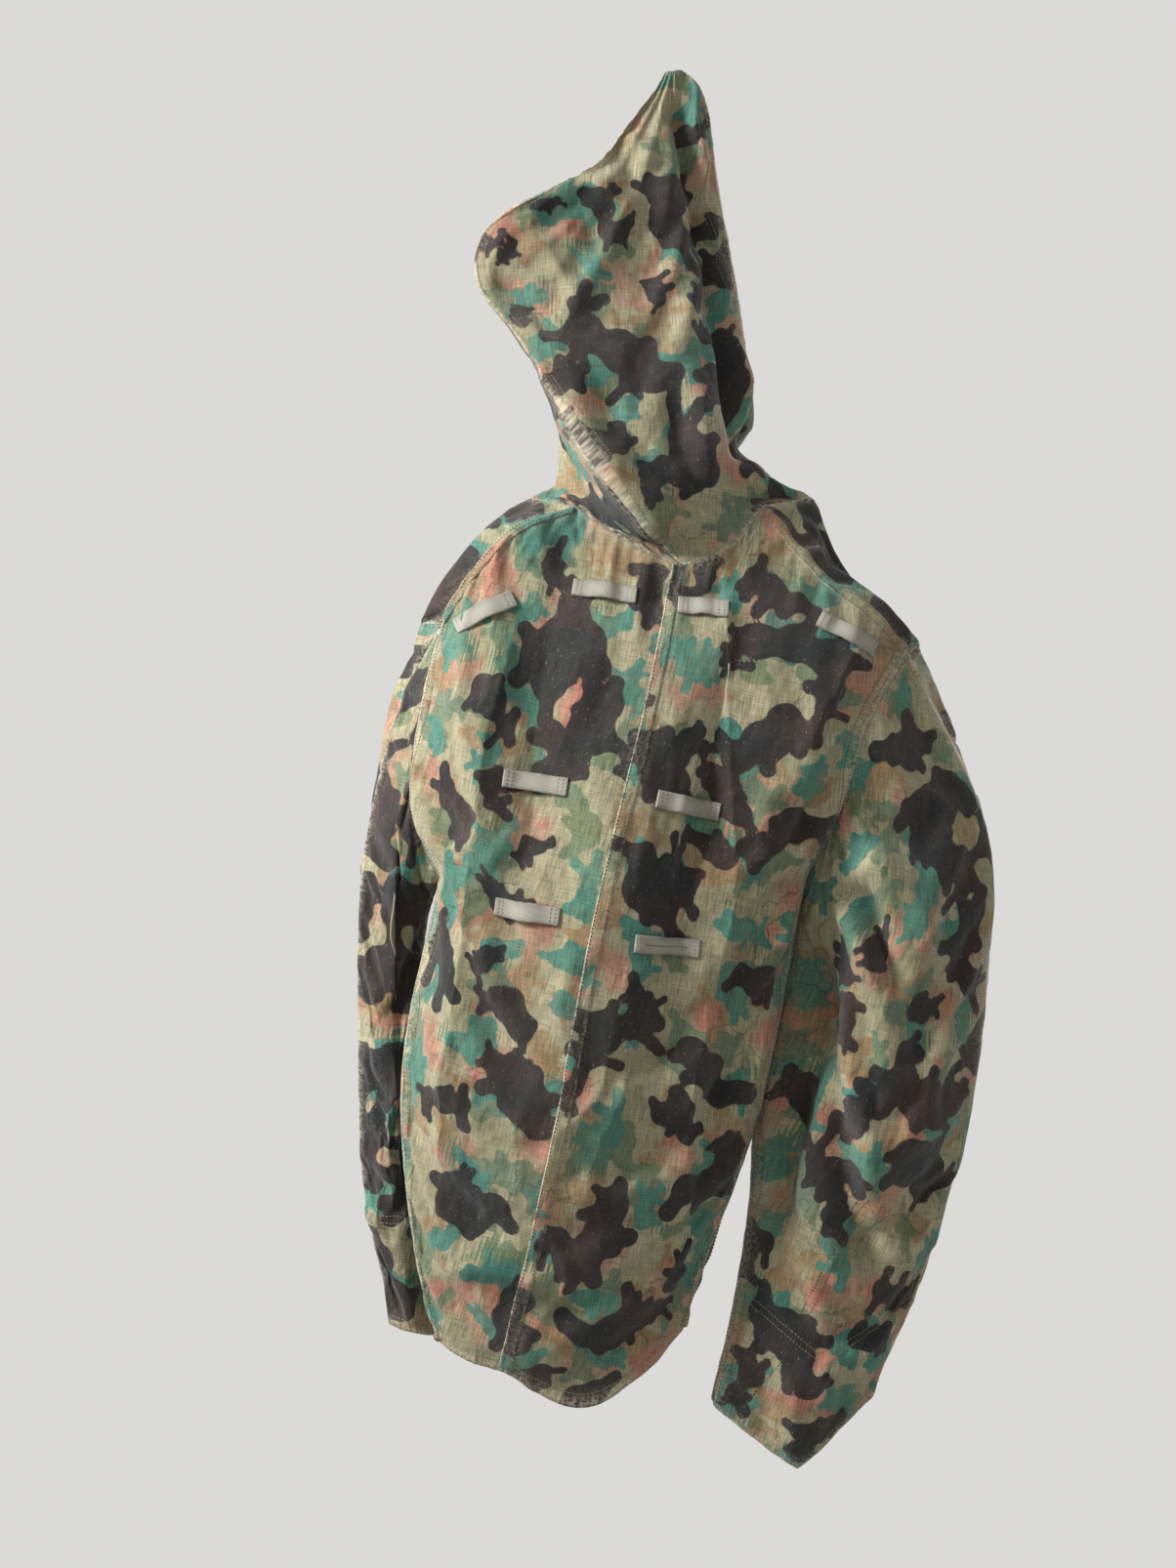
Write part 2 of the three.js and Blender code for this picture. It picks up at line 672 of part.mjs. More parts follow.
for (let i = 0; i < BUTTON_COUNT; i += 1) {
  const place = onFront(0, fromTo(FIRST_BUTTON, LAST_BUTTON, i / (BUTTON_COUNT - 1)));
  const seat = TRIM_CLEARANCE + TRIM_CLOTH + BUTTON_CLEARANCE + BUTTON_EDGE;
  const base = onPanel(place.grid, place.u, place.v, seat);
  const outwards = onPanel(place.grid, place.u, place.v, seat + 1).sub(base).normalize();
  const button = addPiece(`button_${i + 1}`, buttonGeometry, hornButton);
  button.position.copy(base);
  button.quaternion.setFromUnitVectors(new THREE.Vector3(0, 0, 1), outwards);
}

// ---------------------------------------------------------------- foliage loops
// The point of the back's facets straight behind (across, down), and the way off the cloth there.
function onBack(across, down) {
  const flat = (point) => {
    const local = point.clone().sub(body(0, 0, 0));
    return new THREE.Vector3(local.dot(ACROSS), local.dot(DOWN), 0);
  };
  const target = new THREE.Vector3(across, down, 0);
  for (const grid of [panels.back_left, panels.back_right]) {
    for (let row = 0; row < grid.length - 1; row += 1) {
      for (let column = 0; column < grid[0].length - 1; column += 1) {
        const corners = [
          grid[row][column].point,
          grid[row + 1][column].point,
          grid[row + 1][column + 1].point,
          grid[row][column + 1].point,
        ];
        for (const [a, b, c] of [[0, 1, 2], [0, 2, 3]]) {
          const triangle = new THREE.Triangle(corners[a], corners[b], corners[c]);
          const shadow = new THREE.Triangle(flat(corners[a]), flat(corners[b]), flat(corners[c]));
          const shares = shadow.getBarycoord(target, new THREE.Vector3());
          if (shares && Math.min(shares.x, shares.y, shares.z) >= 0) {
            const normal = triangle.getNormal(new THREE.Vector3());
            if (normal.dot(OUT) < 0) normal.negate();
            const point = new THREE.Vector3()
              .addScaledVector(triangle.a, shares.x)
              .addScaledVector(triangle.b, shares.y)
              .addScaledVector(triangle.c, shares.z);
            return { point, normal };
          }
        }
      }
    }
  }
  return null;
}

// Each loop's middle, across and down the back, its tilt in degrees and its length.
const LOOPS = [
  { name: 'shoulder_left', across: -150, down: 76, tilt: -37, length: LOOP_LENGTH },
  { name: 'neck_left', across: -56, down: 38, tilt: -4, length: LOOP_LENGTH },
  { name: 'neck_right', across: 27, down: 34, tilt: -7, length: LOOP_LENGTH - 12 },
  { name: 'shoulder_right', across: 150, down: 29, tilt: 16, length: LOOP_LENGTH },
  { name: 'middle_left', across: -78, down: 206, tilt: -4, length: LOOP_LENGTH },
  { name: 'middle_right', across: 48, down: 198, tilt: 0, length: LOOP_LENGTH },
  { name: 'lower_left', across: -62, down: 310, tilt: -4, length: LOOP_LENGTH },
  { name: 'lower_right', across: 55, down: 313, tilt: -6, length: LOOP_LENGTH },
];
const LOOP_STEPS = 10;

function loopSolid({ across, down, tilt, length }) {
  const turn = THREE.MathUtils.degToRad(tilt);
  const layer = (lift) => {
    const rows = [];
    for (let i = 0; i <= LOOP_STEPS; i += 1) {
      const along = (i / LOOP_STEPS - 0.5) * length;
      const free = (length / 2 - LOOP_STITCHED - Math.abs(along)) / (length / 2 - LOOP_STITCHED);
      const bow = free > 0 ? LOOP_BOW * Math.sin((free * Math.PI) / 2) ** 2 : 0;
      rows.push([-LOOP_WIDTH / 2, 0, LOOP_WIDTH / 2].map((aside) => {
        const place = onBack(
          across + along * Math.cos(turn) - aside * Math.sin(turn),
          down + along * Math.sin(turn) + aside * Math.cos(turn),
        );
        return place.point.addScaledVector(place.normal, lift + bow);
      }));
    }
    return rows;
  };
  return solidBetween(layer(TRIM_CLEARANCE + TRIM_CLOTH), layer(TRIM_CLEARANCE));
}

for (const loop of LOOPS) {
  addPiece(`loop_${loop.name}`, loopSolid(loop), cottonTape);
}

export default smock;
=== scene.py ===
# A hooded camouflage smock, hung by the peak of its hood with its back to the viewer.
# Lengths are millimetres in the sewing below and metres in the finished meshes.
import json
import math

import bpy
import numpy as np
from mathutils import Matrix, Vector


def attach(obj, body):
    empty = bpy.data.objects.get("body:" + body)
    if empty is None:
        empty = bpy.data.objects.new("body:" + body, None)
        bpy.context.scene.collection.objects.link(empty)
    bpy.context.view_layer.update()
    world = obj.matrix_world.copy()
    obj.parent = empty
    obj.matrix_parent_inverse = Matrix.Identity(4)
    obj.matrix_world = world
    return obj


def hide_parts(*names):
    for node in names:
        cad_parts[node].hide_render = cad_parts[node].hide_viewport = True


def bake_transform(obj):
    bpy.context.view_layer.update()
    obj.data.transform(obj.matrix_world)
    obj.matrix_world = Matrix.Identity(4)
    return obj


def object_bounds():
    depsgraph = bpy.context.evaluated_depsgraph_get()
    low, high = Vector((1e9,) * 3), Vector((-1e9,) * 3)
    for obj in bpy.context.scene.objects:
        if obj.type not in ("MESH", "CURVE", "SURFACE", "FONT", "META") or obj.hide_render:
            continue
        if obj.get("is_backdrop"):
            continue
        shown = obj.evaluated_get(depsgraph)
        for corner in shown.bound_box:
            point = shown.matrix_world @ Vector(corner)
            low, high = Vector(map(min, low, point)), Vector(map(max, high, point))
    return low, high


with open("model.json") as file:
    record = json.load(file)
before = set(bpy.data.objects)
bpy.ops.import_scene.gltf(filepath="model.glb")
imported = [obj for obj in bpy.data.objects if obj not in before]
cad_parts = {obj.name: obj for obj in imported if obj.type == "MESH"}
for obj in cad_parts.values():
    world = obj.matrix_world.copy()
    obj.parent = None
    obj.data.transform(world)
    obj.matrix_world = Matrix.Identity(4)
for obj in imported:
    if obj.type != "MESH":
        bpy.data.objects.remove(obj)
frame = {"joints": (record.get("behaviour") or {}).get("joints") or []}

cad_box = [list(corner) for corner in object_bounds()]
MM = 0.001


# ------------------------------------------------------------------ the room
# A plain pale room. The smock hangs clear of a pale floor, and broad soft daylight falls on it
# from the left and front, with a weaker light on the side that faces away.
def rgb(code):
    """An sRGB hex colour as linear red, green and blue, with alpha."""
    parts = [int(code[i:i + 2], 16) / 255 for i in (0, 2, 4)]
    return [c / 12.92 if c <= 0.04045 else ((c + 0.055) / 1.055) ** 2.4 for c in parts] + [1.0]


def add(tree, kind, inputs=None, **settings):
    """Adds a node, sets what it is told to and fills or links each input by name or number."""
    made = tree.nodes.new(kind)
    for key, value in settings.items():
        setattr(made, key, value)
    for key, value in (inputs or {}).items():
        if isinstance(value, bpy.types.NodeSocket):
            tree.links.new(value, made.inputs[key])
        else:
            made.inputs[key].default_value = value
    return made


def new_material(name):
    """A material of that name, with its node tree and its shader."""
    made = bpy.data.materials.new(name)
    made.use_nodes = True
    return made, made.node_tree, made.node_tree.nodes["Principled BSDF"]


def new_object(mesh, material):
    """Links a mesh to the scene as an object of the same name, with its material."""
    mesh.materials.append(material)
    made = bpy.data.objects.new(mesh.name, mesh)
    scene.collection.objects.link(made)
    return made


scene = bpy.context.scene
scene.view_settings.view_transform = "Standard"
PALE_ROOM = "DDDCDA"
HOOK_HEIGHT = 1.9
AIM = Vector((-0.0766, 0.0, -0.642))

camera = bpy.data.objects.new("camera", bpy.data.cameras.new("camera"))
camera.data.sensor_width = 36.0
camera.data.lens = 39.9
camera.location = AIM + Vector((0.0, -1.55, 0.0))
camera.rotation_euler = (math.pi / 2, 0.0, 0.0)
scene.collection.objects.link(camera)
scene.camera = camera


def soft_light(name, place, size, watts):
    """A square soft light that faces the middle of the smock."""
    lamp = bpy.data.objects.new(name, bpy.data.lights.new(name, "AREA"))
    lamp.data.size = size
    lamp.data.energy = watts
    lamp.location = place
    lamp.rotation_euler = (AIM - Vector(place)).to_track_quat("-Z", "Y").to_euler()
    scene.collection.objects.link(lamp)


soft_light("daylight", (-2.3, -0.85, 0.7), 0.8, 190)
soft_light("far_side", (1.3, 2.2, 0.4), 1.8, 60)

world = bpy.data.worlds.new("room")
world.use_nodes = True
world.node_tree.nodes["Background"].inputs["Color"].default_value = rgb(PALE_ROOM)
world.node_tree.nodes["Background"].inputs["Strength"].default_value = 0.98
scene.world = world

FLOOR_RADIUS = 1.2
turns = np.linspace(0, 2 * math.pi, 96, endpoint=False)
rim = np.stack([np.cos(turns), np.sin(turns), 0 * turns], axis=1) * FLOOR_RADIUS
floor_mesh = bpy.data.meshes.new("floor")
floor_mesh.from_pydata((rim + [0, 0, -HOOK_HEIGHT]).tolist(), [], [list(range(96))])
paint, paint_tree, paint_shader = new_material("matt_floor_paint")
paint_shader.inputs["Base Color"].default_value = rgb("8F8D89")
paint_shader.inputs["Roughness"].default_value = 0.9
new_object(floor_mesh, paint)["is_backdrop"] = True


# ------------------------------------------------------------------ the cut of the smock
# The smock is cut as a back and a front in two halves each, a hood in two halves and sleeves in
# two panels each. Every panel is the cloth between four seams, so neighbours share their edges.
LEAN = math.radians(12.2)
neck_joint = next(j for j in frame["joints"] if j["name"] == "neck_fold")
NECK_OUT, NECK_DROP = (-value / MM for value in neck_joint["pos_m"][1:])
BACK_LENGTH = 690
CHEST_RIGHT = 162
CHEST_LEFT = 142
CHEST_DEPTH = 152
HOOD_BULGE = 175


def body(across, down, out):
    """A point on the leaning body: across from the centre back, down from its neck and out."""
    return np.array([
        across * math.cos(LEAN) - down * math.sin(LEAN),
        -out,
        -NECK_DROP - across * math.sin(LEAN) - down * math.cos(LEAN),
    ])


def on_body(points):
    """The distances across and down the leaning body of each point."""
    x, z = points[..., 0], points[..., 2] + NECK_DROP
    return x * math.cos(LEAN) - z * math.sin(LEAN), -x * math.sin(LEAN) - z * math.cos(LEAN)


def hood(across, down, out):
    return np.array([across, -out, -down], float)


def seam(*points):
    """A centripetal Catmull-Rom curve through the points, asked for by its share of length."""
    knots = np.array(points, float)
    gaps = np.sqrt(np.linalg.norm(np.diff(knots, axis=0), axis=1))
    ends = [2 * knots[0] - knots[1]], [2 * knots[-1] - knots[-2]]
    knots = np.concatenate([ends[0], knots, ends[1]])
    times = np.cumsum(np.concatenate([[0, gaps[0]], gaps, [gaps[-1]]]))
    pieces = []
    for p, t in ((knots[i:i + 4], times[i:i + 4]) for i in range(len(gaps))):
        x = np.linspace(t[1], t[2], 30)[:, None]
        slide = lambda a, b, i, j: ((t[j] - x) * a + (x - t[i]) * b) / (t[j] - t[i])
        first, second, third = (slide(p[i], p[i + 1], i, i + 1) for i in range(3))
        pieces.append(slide(slide(first, second, 0, 2), slide(second, third, 1, 3), 1, 2))
    line = np.concatenate(pieces)
    length = np.concatenate([[0], np.cumsum(np.linalg.norm(np.diff(line, axis=0), axis=1))])
    share = length / length[-1]
    return lambda s: np.stack([np.interp(s, share, line[:, k]) for k in range(3)], axis=-1)


def joined(first, first_steps, second, second_steps):
    """Two seams end to end, the first taking so many of the steps that both are divided into."""
    split = first_steps / (first_steps + second_steps)
    return lambda s: np.where(
        (np.asarray(s) <= split)[..., None], first(s / split), second((s - split) / (1 - split)))


def stretch(line, start, end):
    return lambda s: line(start + (end - start) * np.asarray(s))


def round_share(u, roundness):
    """How deep a rounded section has come from its ridge (0) to its side (1)."""
    return 1 - np.maximum(0, 1 - u ** roundness) ** (1 / roundness)


def surface(ridge, side, top, bottom, roundness, late=1):
    """The blend of four edges, whose depth runs from ridge to side by a rounded share. The
    bottom edge's own curve is felt as the share down to the power of late."""
    def at(u, v):
        share = np.stack([u, round_share(u, roundness), u], axis=-1)[None]
        down = v[:, None, None]
        lengthwise = (1 - share) * ridge(v)[:, None] + share * side(v)[:, None]
        zero, one = np.zeros(1), np.ones(1)
        upper = top(u)[None] - (1 - share) * ridge(zero) - share * side(zero)
        lower = bottom(u)[None] - (1 - share) * ridge(one) - share * side(one)
        return lengthwise + (1 - down) * upper + down ** late * lower
    return at


def round_edge(start, end, roundness):
    """A straight edge whose depth follows the rounded share."""
    def at(u):
        share = np.stack([u, round_share(u, roundness), u], axis=-1)
        return start + (end - start) * share
    return at


NECK_BACK = body(0, 0, NECK_OUT)
NECK_FRONT = body(0, -56, 0)
NECK = {"right": body(60, -66, 66), "left": body(-94, -32, 64)}
SHOULDER = {"right": body(206, 30, 72), "left": body(-186, 88, 66)}
UNDERARM = {"right": body(CHEST_RIGHT, 238, 78), "left": body(-CHEST_LEFT, 302, 72)}
HEM = {"right": body(CHEST_RIGHT - 20, BACK_LENGTH - 60, 70),
       "left": body(80 - CHEST_LEFT, BACK_LENGTH - 4, 72)}
HEM_BACK = body(0, BACK_LENGTH, 95)
HEM_FRONT = body(46, BACK_LENGTH - 20, -5)

centre_back = seam(NECK_BACK, body(0, 105, 135), body(-5, 280, CHEST_DEPTH),
                   body(0, 475, CHEST_DEPTH - 12), HEM_BACK)
centre_front = seam(NECK_FRONT, body(18, 100, -5), body(32, 360, -5), HEM_FRONT)
side_seam = {
    "right": seam(UNDERARM["right"], body(CHEST_RIGHT + 3, 440, 76),
                  body(CHEST_RIGHT - 14, 575, 72), HEM["right"]),
    "left": seam(UNDERARM["left"], body(4 - CHEST_LEFT, 470, 82),
                 body(48 - CHEST_LEFT, 620, 77), HEM["left"]),
}
back_armhole = {
    "right": seam(SHOULDER["right"], body(180, 100, 104), body(176, 170, 104), UNDERARM["right"]),
    "left": seam(SHOULDER["left"], body(-188, 150, 80), body(-178, 250, 76), UNDERARM["left"]),
}
front_armhole = {
    "right": seam(SHOULDER["right"], body(220, 22, 45), body(210, 52, 12), body(192, 118, 6),
                  body(178, 190, 30), UNDERARM["right"]),
    "left": seam(SHOULDER["left"], body(-206, 94, 40), body(-194, 130, 12), body(-182, 190, 10),
                 body(-165, 258, 30), UNDERARM["left"]),
}
shoulder_seam = {
    "right": seam(NECK["right"], body(114, -20, 84), body(164, 6, 86), SHOULDER["right"]),
    "left": seam(NECK["left"], body(-139, 0, 80), body(-167, 46, 82), SHOULDER["left"]),
}
back_neck = {
    "right": seam(NECK_BACK, body(30, -14, 86), body(48, -36, 78), NECK["right"]),
    "left": seam(NECK_BACK, body(-32, -6, 86), body(-64, -17, 78), NECK["left"]),
}
front_neck = {
    "right": seam(NECK["right"], body(102, -86, 40), body(70, -78, 8), NECK_FRONT),
    "left": seam(NECK["left"], body(-138, -34, 38), body(-80, -46, 6), NECK_FRONT),
}
back_hem = {
    "right": seam(HEM_BACK, body(64, BACK_LENGTH + 17, 92), body(108, BACK_LENGTH - 14, 84),
                  HEM["right"]),
    "left": seam(HEM_BACK, body(-32, BACK_LENGTH, 90), HEM["left"]),
}
front_hem = {
    "right": seam(HEM_FRONT, body(94, BACK_LENGTH - 30, 0), HEM["right"]),
    "left": seam(HEM_FRONT, body(-14, BACK_LENGTH - 4, 24), HEM["left"]),
}
TIP = hood(0, 0, 0)
crown_seam = seam(
    TIP, hood(-42, 50, 25), hood(-76, 98, 42), hood(60 - HOOD_BULGE, 122, 56),
    hood(3 - HOOD_BULGE, 162, 60), hood(-HOOD_BULGE, 205, 68), hood(27 - HOOD_BULGE, 245, 84),
    hood(-98, 322, 105), hood(-45, 396, 116), NECK_BACK)
face_edge = {
    "right": seam(TIP, hood(24, 22, 0), hood(40, 110, -2), hood(62, 235, -4), hood(66, 330, -4),
                  NECK_FRONT),
    "left": seam(TIP, hood(-16, 38, -3), hood(-48, 130, -5), hood(-74, 235, -5),
                 hood(-60, 345, -5), NECK_FRONT),
}
# Each sleeve's outer and inner seams and its two crests, from the armhole down to the cuff.
sleeve_lines = {
    "right": {
        "outer": [body(306, 163, 58), body(335, 294, 62), body(344, 420, 60), body(334, 560, 54),
                  body(316, 651, 50)],
        "inner": [body(163, 300, 58), body(163, 440, 52), body(178, 540, 50), body(182, 696, 58)],
        "back": [body(210, 190, 122), body(240, 330, 132), body(257, 430, 126),
                 body(256, 540, 106), body(260, 724, 80)],
        "front": [body(233, 198, 0), body(260, 330, -6), body(270, 450, -8), body(262, 580, -6),
                  body(251, 682, 18)],
    },
    "left": {
        "outer": [body(-208, 160, 42), body(-213, 300, 40), body(-186, 450, 34),
                  body(-150, 590, 34), body(-103, 690, 34)],
        "inner": [body(-146, 350, 38), body(-130, 457, 30), body(-92, 600, 28),
                  body(-62, 694, 30)],
        "back": [body(-188, 260, 68), body(-170, 351, 66), body(-153, 441, 64),
                 body(-115, 590, 60), body(-82, 690, 54)],
        "front": [body(-188, 272, -4), body(-172, 400, -9), body(-140, 540, -10),
                  body(-88, 696, 0)],
    },
}

# Steps along each seam, which every finer grid of the same panel divides evenly.
BACK_NECK, FRONT_NECK, SHOULDER_STEPS, ARMHOLE, SIDE = 4, 5, 5, 6, 10
BODY_ROWS = ARMHOLE + SIDE
HOOD_ROWS = 16
SLEEVE_ROWS = 14
BACK_ROUNDNESS = 1.9
SLEEVE_ROUNDNESS = 1.8
FRONT_ROUNDNESS = {"right": 2.4, "left": 1.3}
HOOD_ROUNDNESS = {"right": 1.7, "left": 0.75}
TIP_SHARE = 0.02
SIDES = ("right", "left")

cuts = {}
for s in SIDES:
    cuts[f"back_{s}"] = (surface(
        centre_back, joined(back_armhole[s], ARMHOLE, side_seam[s], SIDE),
        joined(back_neck[s], BACK_NECK, shoulder_seam[s], SHOULDER_STEPS), back_hem[s],
        BACK_ROUNDNESS), BACK_NECK + SHOULDER_STEPS, BODY_ROWS)
    cuts[f"front_{s}"] = (surface(
        joined(front_neck[s], FRONT_NECK, centre_front, BODY_ROWS - FRONT_NECK),
        joined(front_armhole[s], ARMHOLE, side_seam[s], SIDE), shoulder_seam[s], front_hem[s],
        FRONT_ROUNDNESS[s]), SHOULDER_STEPS, BODY_ROWS)
    hood_cut = surface(
        crown_seam, face_edge[s], lambda u: np.zeros((len(u), 3)),
        joined(back_neck[s], BACK_NECK, front_neck[s], FRONT_NECK), HOOD_ROUNDNESS[s],
        late=5)
    cuts[f"hood_{s}"] = (
        lambda u, v, cut=hood_cut: cut(u, TIP_SHARE + (1 - TIP_SHARE) * v),
        BACK_NECK + FRONT_NECK, HOOD_ROWS)
    lines = sleeve_lines[s]
    for facing, armhole in (("back", back_armhole[s]), ("front", front_armhole[s])):
        crest = seam(armhole(0.5), *lines[facing])
        halves = [
            surface(crest, seam(corner, *lines[edge]), stretch(armhole, 0.5, end),
                    round_edge(lines[facing][-1], lines[edge][-1], SLEEVE_ROUNDNESS),
                    SLEEVE_ROUNDNESS)
            for corner, edge, end in (
                (SHOULDER[s], "outer", 0), (UNDERARM[s], "inner", 1))]

        def sleeve_cut(u, v, halves=halves):
            outer = halves[0](1 - np.minimum(u, 0.5) * 2, v)
            inner = halves[1](np.maximum(u, 0.5) * 2 - 1, v)
            return np.where((u < 0.5)[None, :, None], outer, inner)
        cuts[f"sleeve_{s}_{facing}"] = (sleeve_cut, ARMHOLE, SLEEVE_ROWS)


def laid_out(fineness):
    """Every panel's grid of points, with so many divisions for each step of its seams."""
    return {name: cut(np.linspace(0, 1, columns * fineness + 1),
                      np.linspace(0, 1, rows * fineness + 1))
            for name, (cut, columns, rows) in cuts.items()}


class Sewn:
    """The panels' points as one list, in which the points that a seam joins are one."""

    def __init__(self, grids):
        self.names = list(grids)
        self.shapes = [grids[name].shape[:2] for name in self.names]
        points = np.concatenate([grids[name].reshape(-1, 3) for name in self.names])
        kept, self.index = np.unique(np.round(points * 5).astype(int), axis=0,
                                     return_inverse=True)[:2]
        self.index = self.index.reshape(-1)
        self.size = len(kept)
        self.share = np.bincount(self.index, minlength=self.size).astype(float)
        faces, start = [], 0
        for rows, columns in self.shapes:
            at = np.arange(rows * columns).reshape(rows, columns) + start
            faces.append(np.stack(
                [at[:-1, :-1], at[1:, :-1], at[1:, 1:], at[:-1, 1:]], axis=-1).reshape(-1, 4))
            start += rows * columns
        self.turned = [self.is_turned(name, grids[name]) for name in self.names]
        faces = [f[:, ::-1] if turned else f for f, turned in zip(faces, self.turned)]
        self.faces = self.index[np.concatenate(faces)]

    @staticmethod
    def is_turned(name, grid):
        """True where the grid's own way of counting would face its cloth inwards."""
        rows, columns = grid.shape[0] // 2, grid.shape[1] // 2
        over = grid[rows, columns + 1] - grid[rows, columns - 1]
        down = grid[rows + 1, columns] - grid[rows - 1, columns]
        outwards = 1 if "front" in name or name == "hood_left" else -1
        return np.cross(down, over)[1] * outwards < 0

    def join(self, grids):
        """One value for each sewn point: the mean of what the panels say there."""
        values = np.concatenate([grids[n].reshape(-1, grids[n].shape[-1]) for n in self.names])
        sums = [np.bincount(self.index, values[:, k], self.size) for k in range(values.shape[1])]
        return np.stack(sums, axis=1) / self.share[:, None]

    def part(self, values):
        """The sewn points' values, back on each panel's own grid."""
        spread = values[self.index]
        parts, start = {}, 0
        for name, (rows, columns) in zip(self.names, self.shapes):
            parts[name] = spread[start:start + rows * columns].reshape(rows, columns, -1)
            start += rows * columns
        return parts

    def normals(self, points):
        """The outward way at each sewn point, the mean of the faces around it."""
        a, b, c, d = (points[self.faces[:, k]] for k in range(4))
        square = np.cross(c - a, d - b)
        total = np.zeros_like(points)
        for k in range(4):
            for axis in range(3):
                total[:, axis] += np.bincount(self.faces[:, k], square[:, axis], self.size)
        return total / np.maximum(np.linalg.norm(total, axis=1, keepdims=True), 1e-9)


# ------------------------------------------------------------------ folds in the cloth
# Old press creases run down the back, folds spread from the underarms, the hood has a deep
# fold behind its right face edge, and fine wrinkles lie everywhere. All are heights off the cloth.
def noise(x, y, seed):
    """Smooth noise from -1 to 1: seeded heights on a unit grid, eased between its corners."""
    table = np.random.default_rng(seed).uniform(-1, 1, (64, 64))
    i, j = np.floor(x).astype(int), np.floor(y).astype(int)
    s, t = x - i, y - j
    s, t = s * s * (3 - 2 * s), t * t * (3 - 2 * t)
    corner = lambda a, b: table[(i + a) % 64, (j + b) % 64]
    near, far = corner(0, 0) * (1 - s) + corner(1, 0) * s, corner(0, 1) * (1 - s) + corner(1, 1) * s
    return near * (1 - t) + far * t


def beside(line, across, down):
    """The distance to one side of a line of points, and the share of its length there."""
    best = np.full(across.shape, 1e9)
    side, share = np.zeros(across.shape), np.zeros(across.shape)
    line = np.array(line, float)
    steps = np.diff(line, axis=0)
    lengths = np.linalg.norm(steps, axis=1)
    passed = np.concatenate([[0], np.cumsum(lengths)])
    for start, step, length, before in zip(line, steps, lengths, passed):
        from_start = across - start[0], down - start[1]
        along = np.clip((from_start[0] * step[0] + from_start[1] * step[1]) / length ** 2, 0, 1)
        gap = from_start[0] - along * step[0], from_start[1] - along * step[1]
        away = np.hypot(*gap)
        closer = away < best
        best = np.where(closer, away, best)
        turn = step[0] * gap[1] - step[1] * gap[0]
        side = np.where(closer, np.sign(turn) * away, side)
        share = np.where(closer, (before + along * length) / passed[-1], share)
    return side, share


def fold(across, down, line, height, width, sharp=False, ends=0.15):
    """A ridge or valley along a line, rounded or pressed sharp, that dies out at its ends."""
    side, share = beside(line, across, down)
    across_it = np.exp(-np.abs(side) / width) if sharp else np.exp(-(side / width) ** 2)
    fade = np.clip(np.minimum(share, 1 - share) / ends, 0, 1)
    return height * across_it * (fade * fade * (3 - 2 * fade))


def wrinkles(across, down, seed):
    """Soft lengthwise buckles with finer ones over them, about 4 mm at most."""
    drift = 0.7 * noise(across / 60, down / 60, seed + 1)
    long = 1 - np.abs(noise(across / 34 + drift, down / 120, seed)) * 2
    short = noise(across / 15 + drift, down / 34, seed + 2)
    small = noise(across / 6.5, down / 9, seed + 3)
    return 1.5 * long + 1.1 * short + 0.35 * small


def back_folds(a, d):
    h = wrinkles(a, d, 11)
    h += fold(a, d, [(154, 236), (152, 330), (150, 440), (142, 540)], 12, 15, ends=0.2)
    h += fold(a, d, [(128, 262), (122, 350), (118, 440), (124, 540)], -7, 14, ends=0.25)
    h += fold(a, d, [(35, -16), (69, 140), (97, 258), (97, 346), (98, 433), (127, 581)],
              5.5, 10, sharp=True)
    h += fold(a, d, [(-120, 40), (-128, 168), (-116, 260), (-106, 447), (-84, 560)],
              5.0, 10, sharp=True)
    h += fold(a, d, [(-24, 60), (-56, 170), (-40, 320), (-44, 470)], -3.0, 16)
    h += fold(a, d, [(64, 120), (52, 260), (62, 420), (50, 560)], -3.5, 15)
    for line, height in (
            ([(156, 232), (128, 250), (104, 290)], -7), ([(158, 214), (124, 214), (92, 236)], 5),
            ([(160, 190), (130, 176), (100, 178)], -4.5), ([(152, 262), (130, 300), (120, 350)], 5),
            ([(-136, 296), (-110, 312), (-92, 350)], -5), ([(-140, 262), (-112, 262), (-90, 276)], 4),
            ([(-150, 120), (-96, 160), (-40, 182)], 3), ([(-160, 96), (-100, 112), (-60, 120)], -3)):
        h += fold(a, d, line, height, 9, ends=0.3)
    h += fold(a, d, [(-96, 14), (-60, 22), (-20, 34), (24, 26), (58, -2)], -2.5, 7)
    h += fold(a, d, [(-100, 640), (-40, 600), (10, 560)], 3.5, 14, ends=0.3)
    h += fold(a, d, [(132, 520), (90, 560), (60, 620)], 4, 13, ends=0.3)
    return h


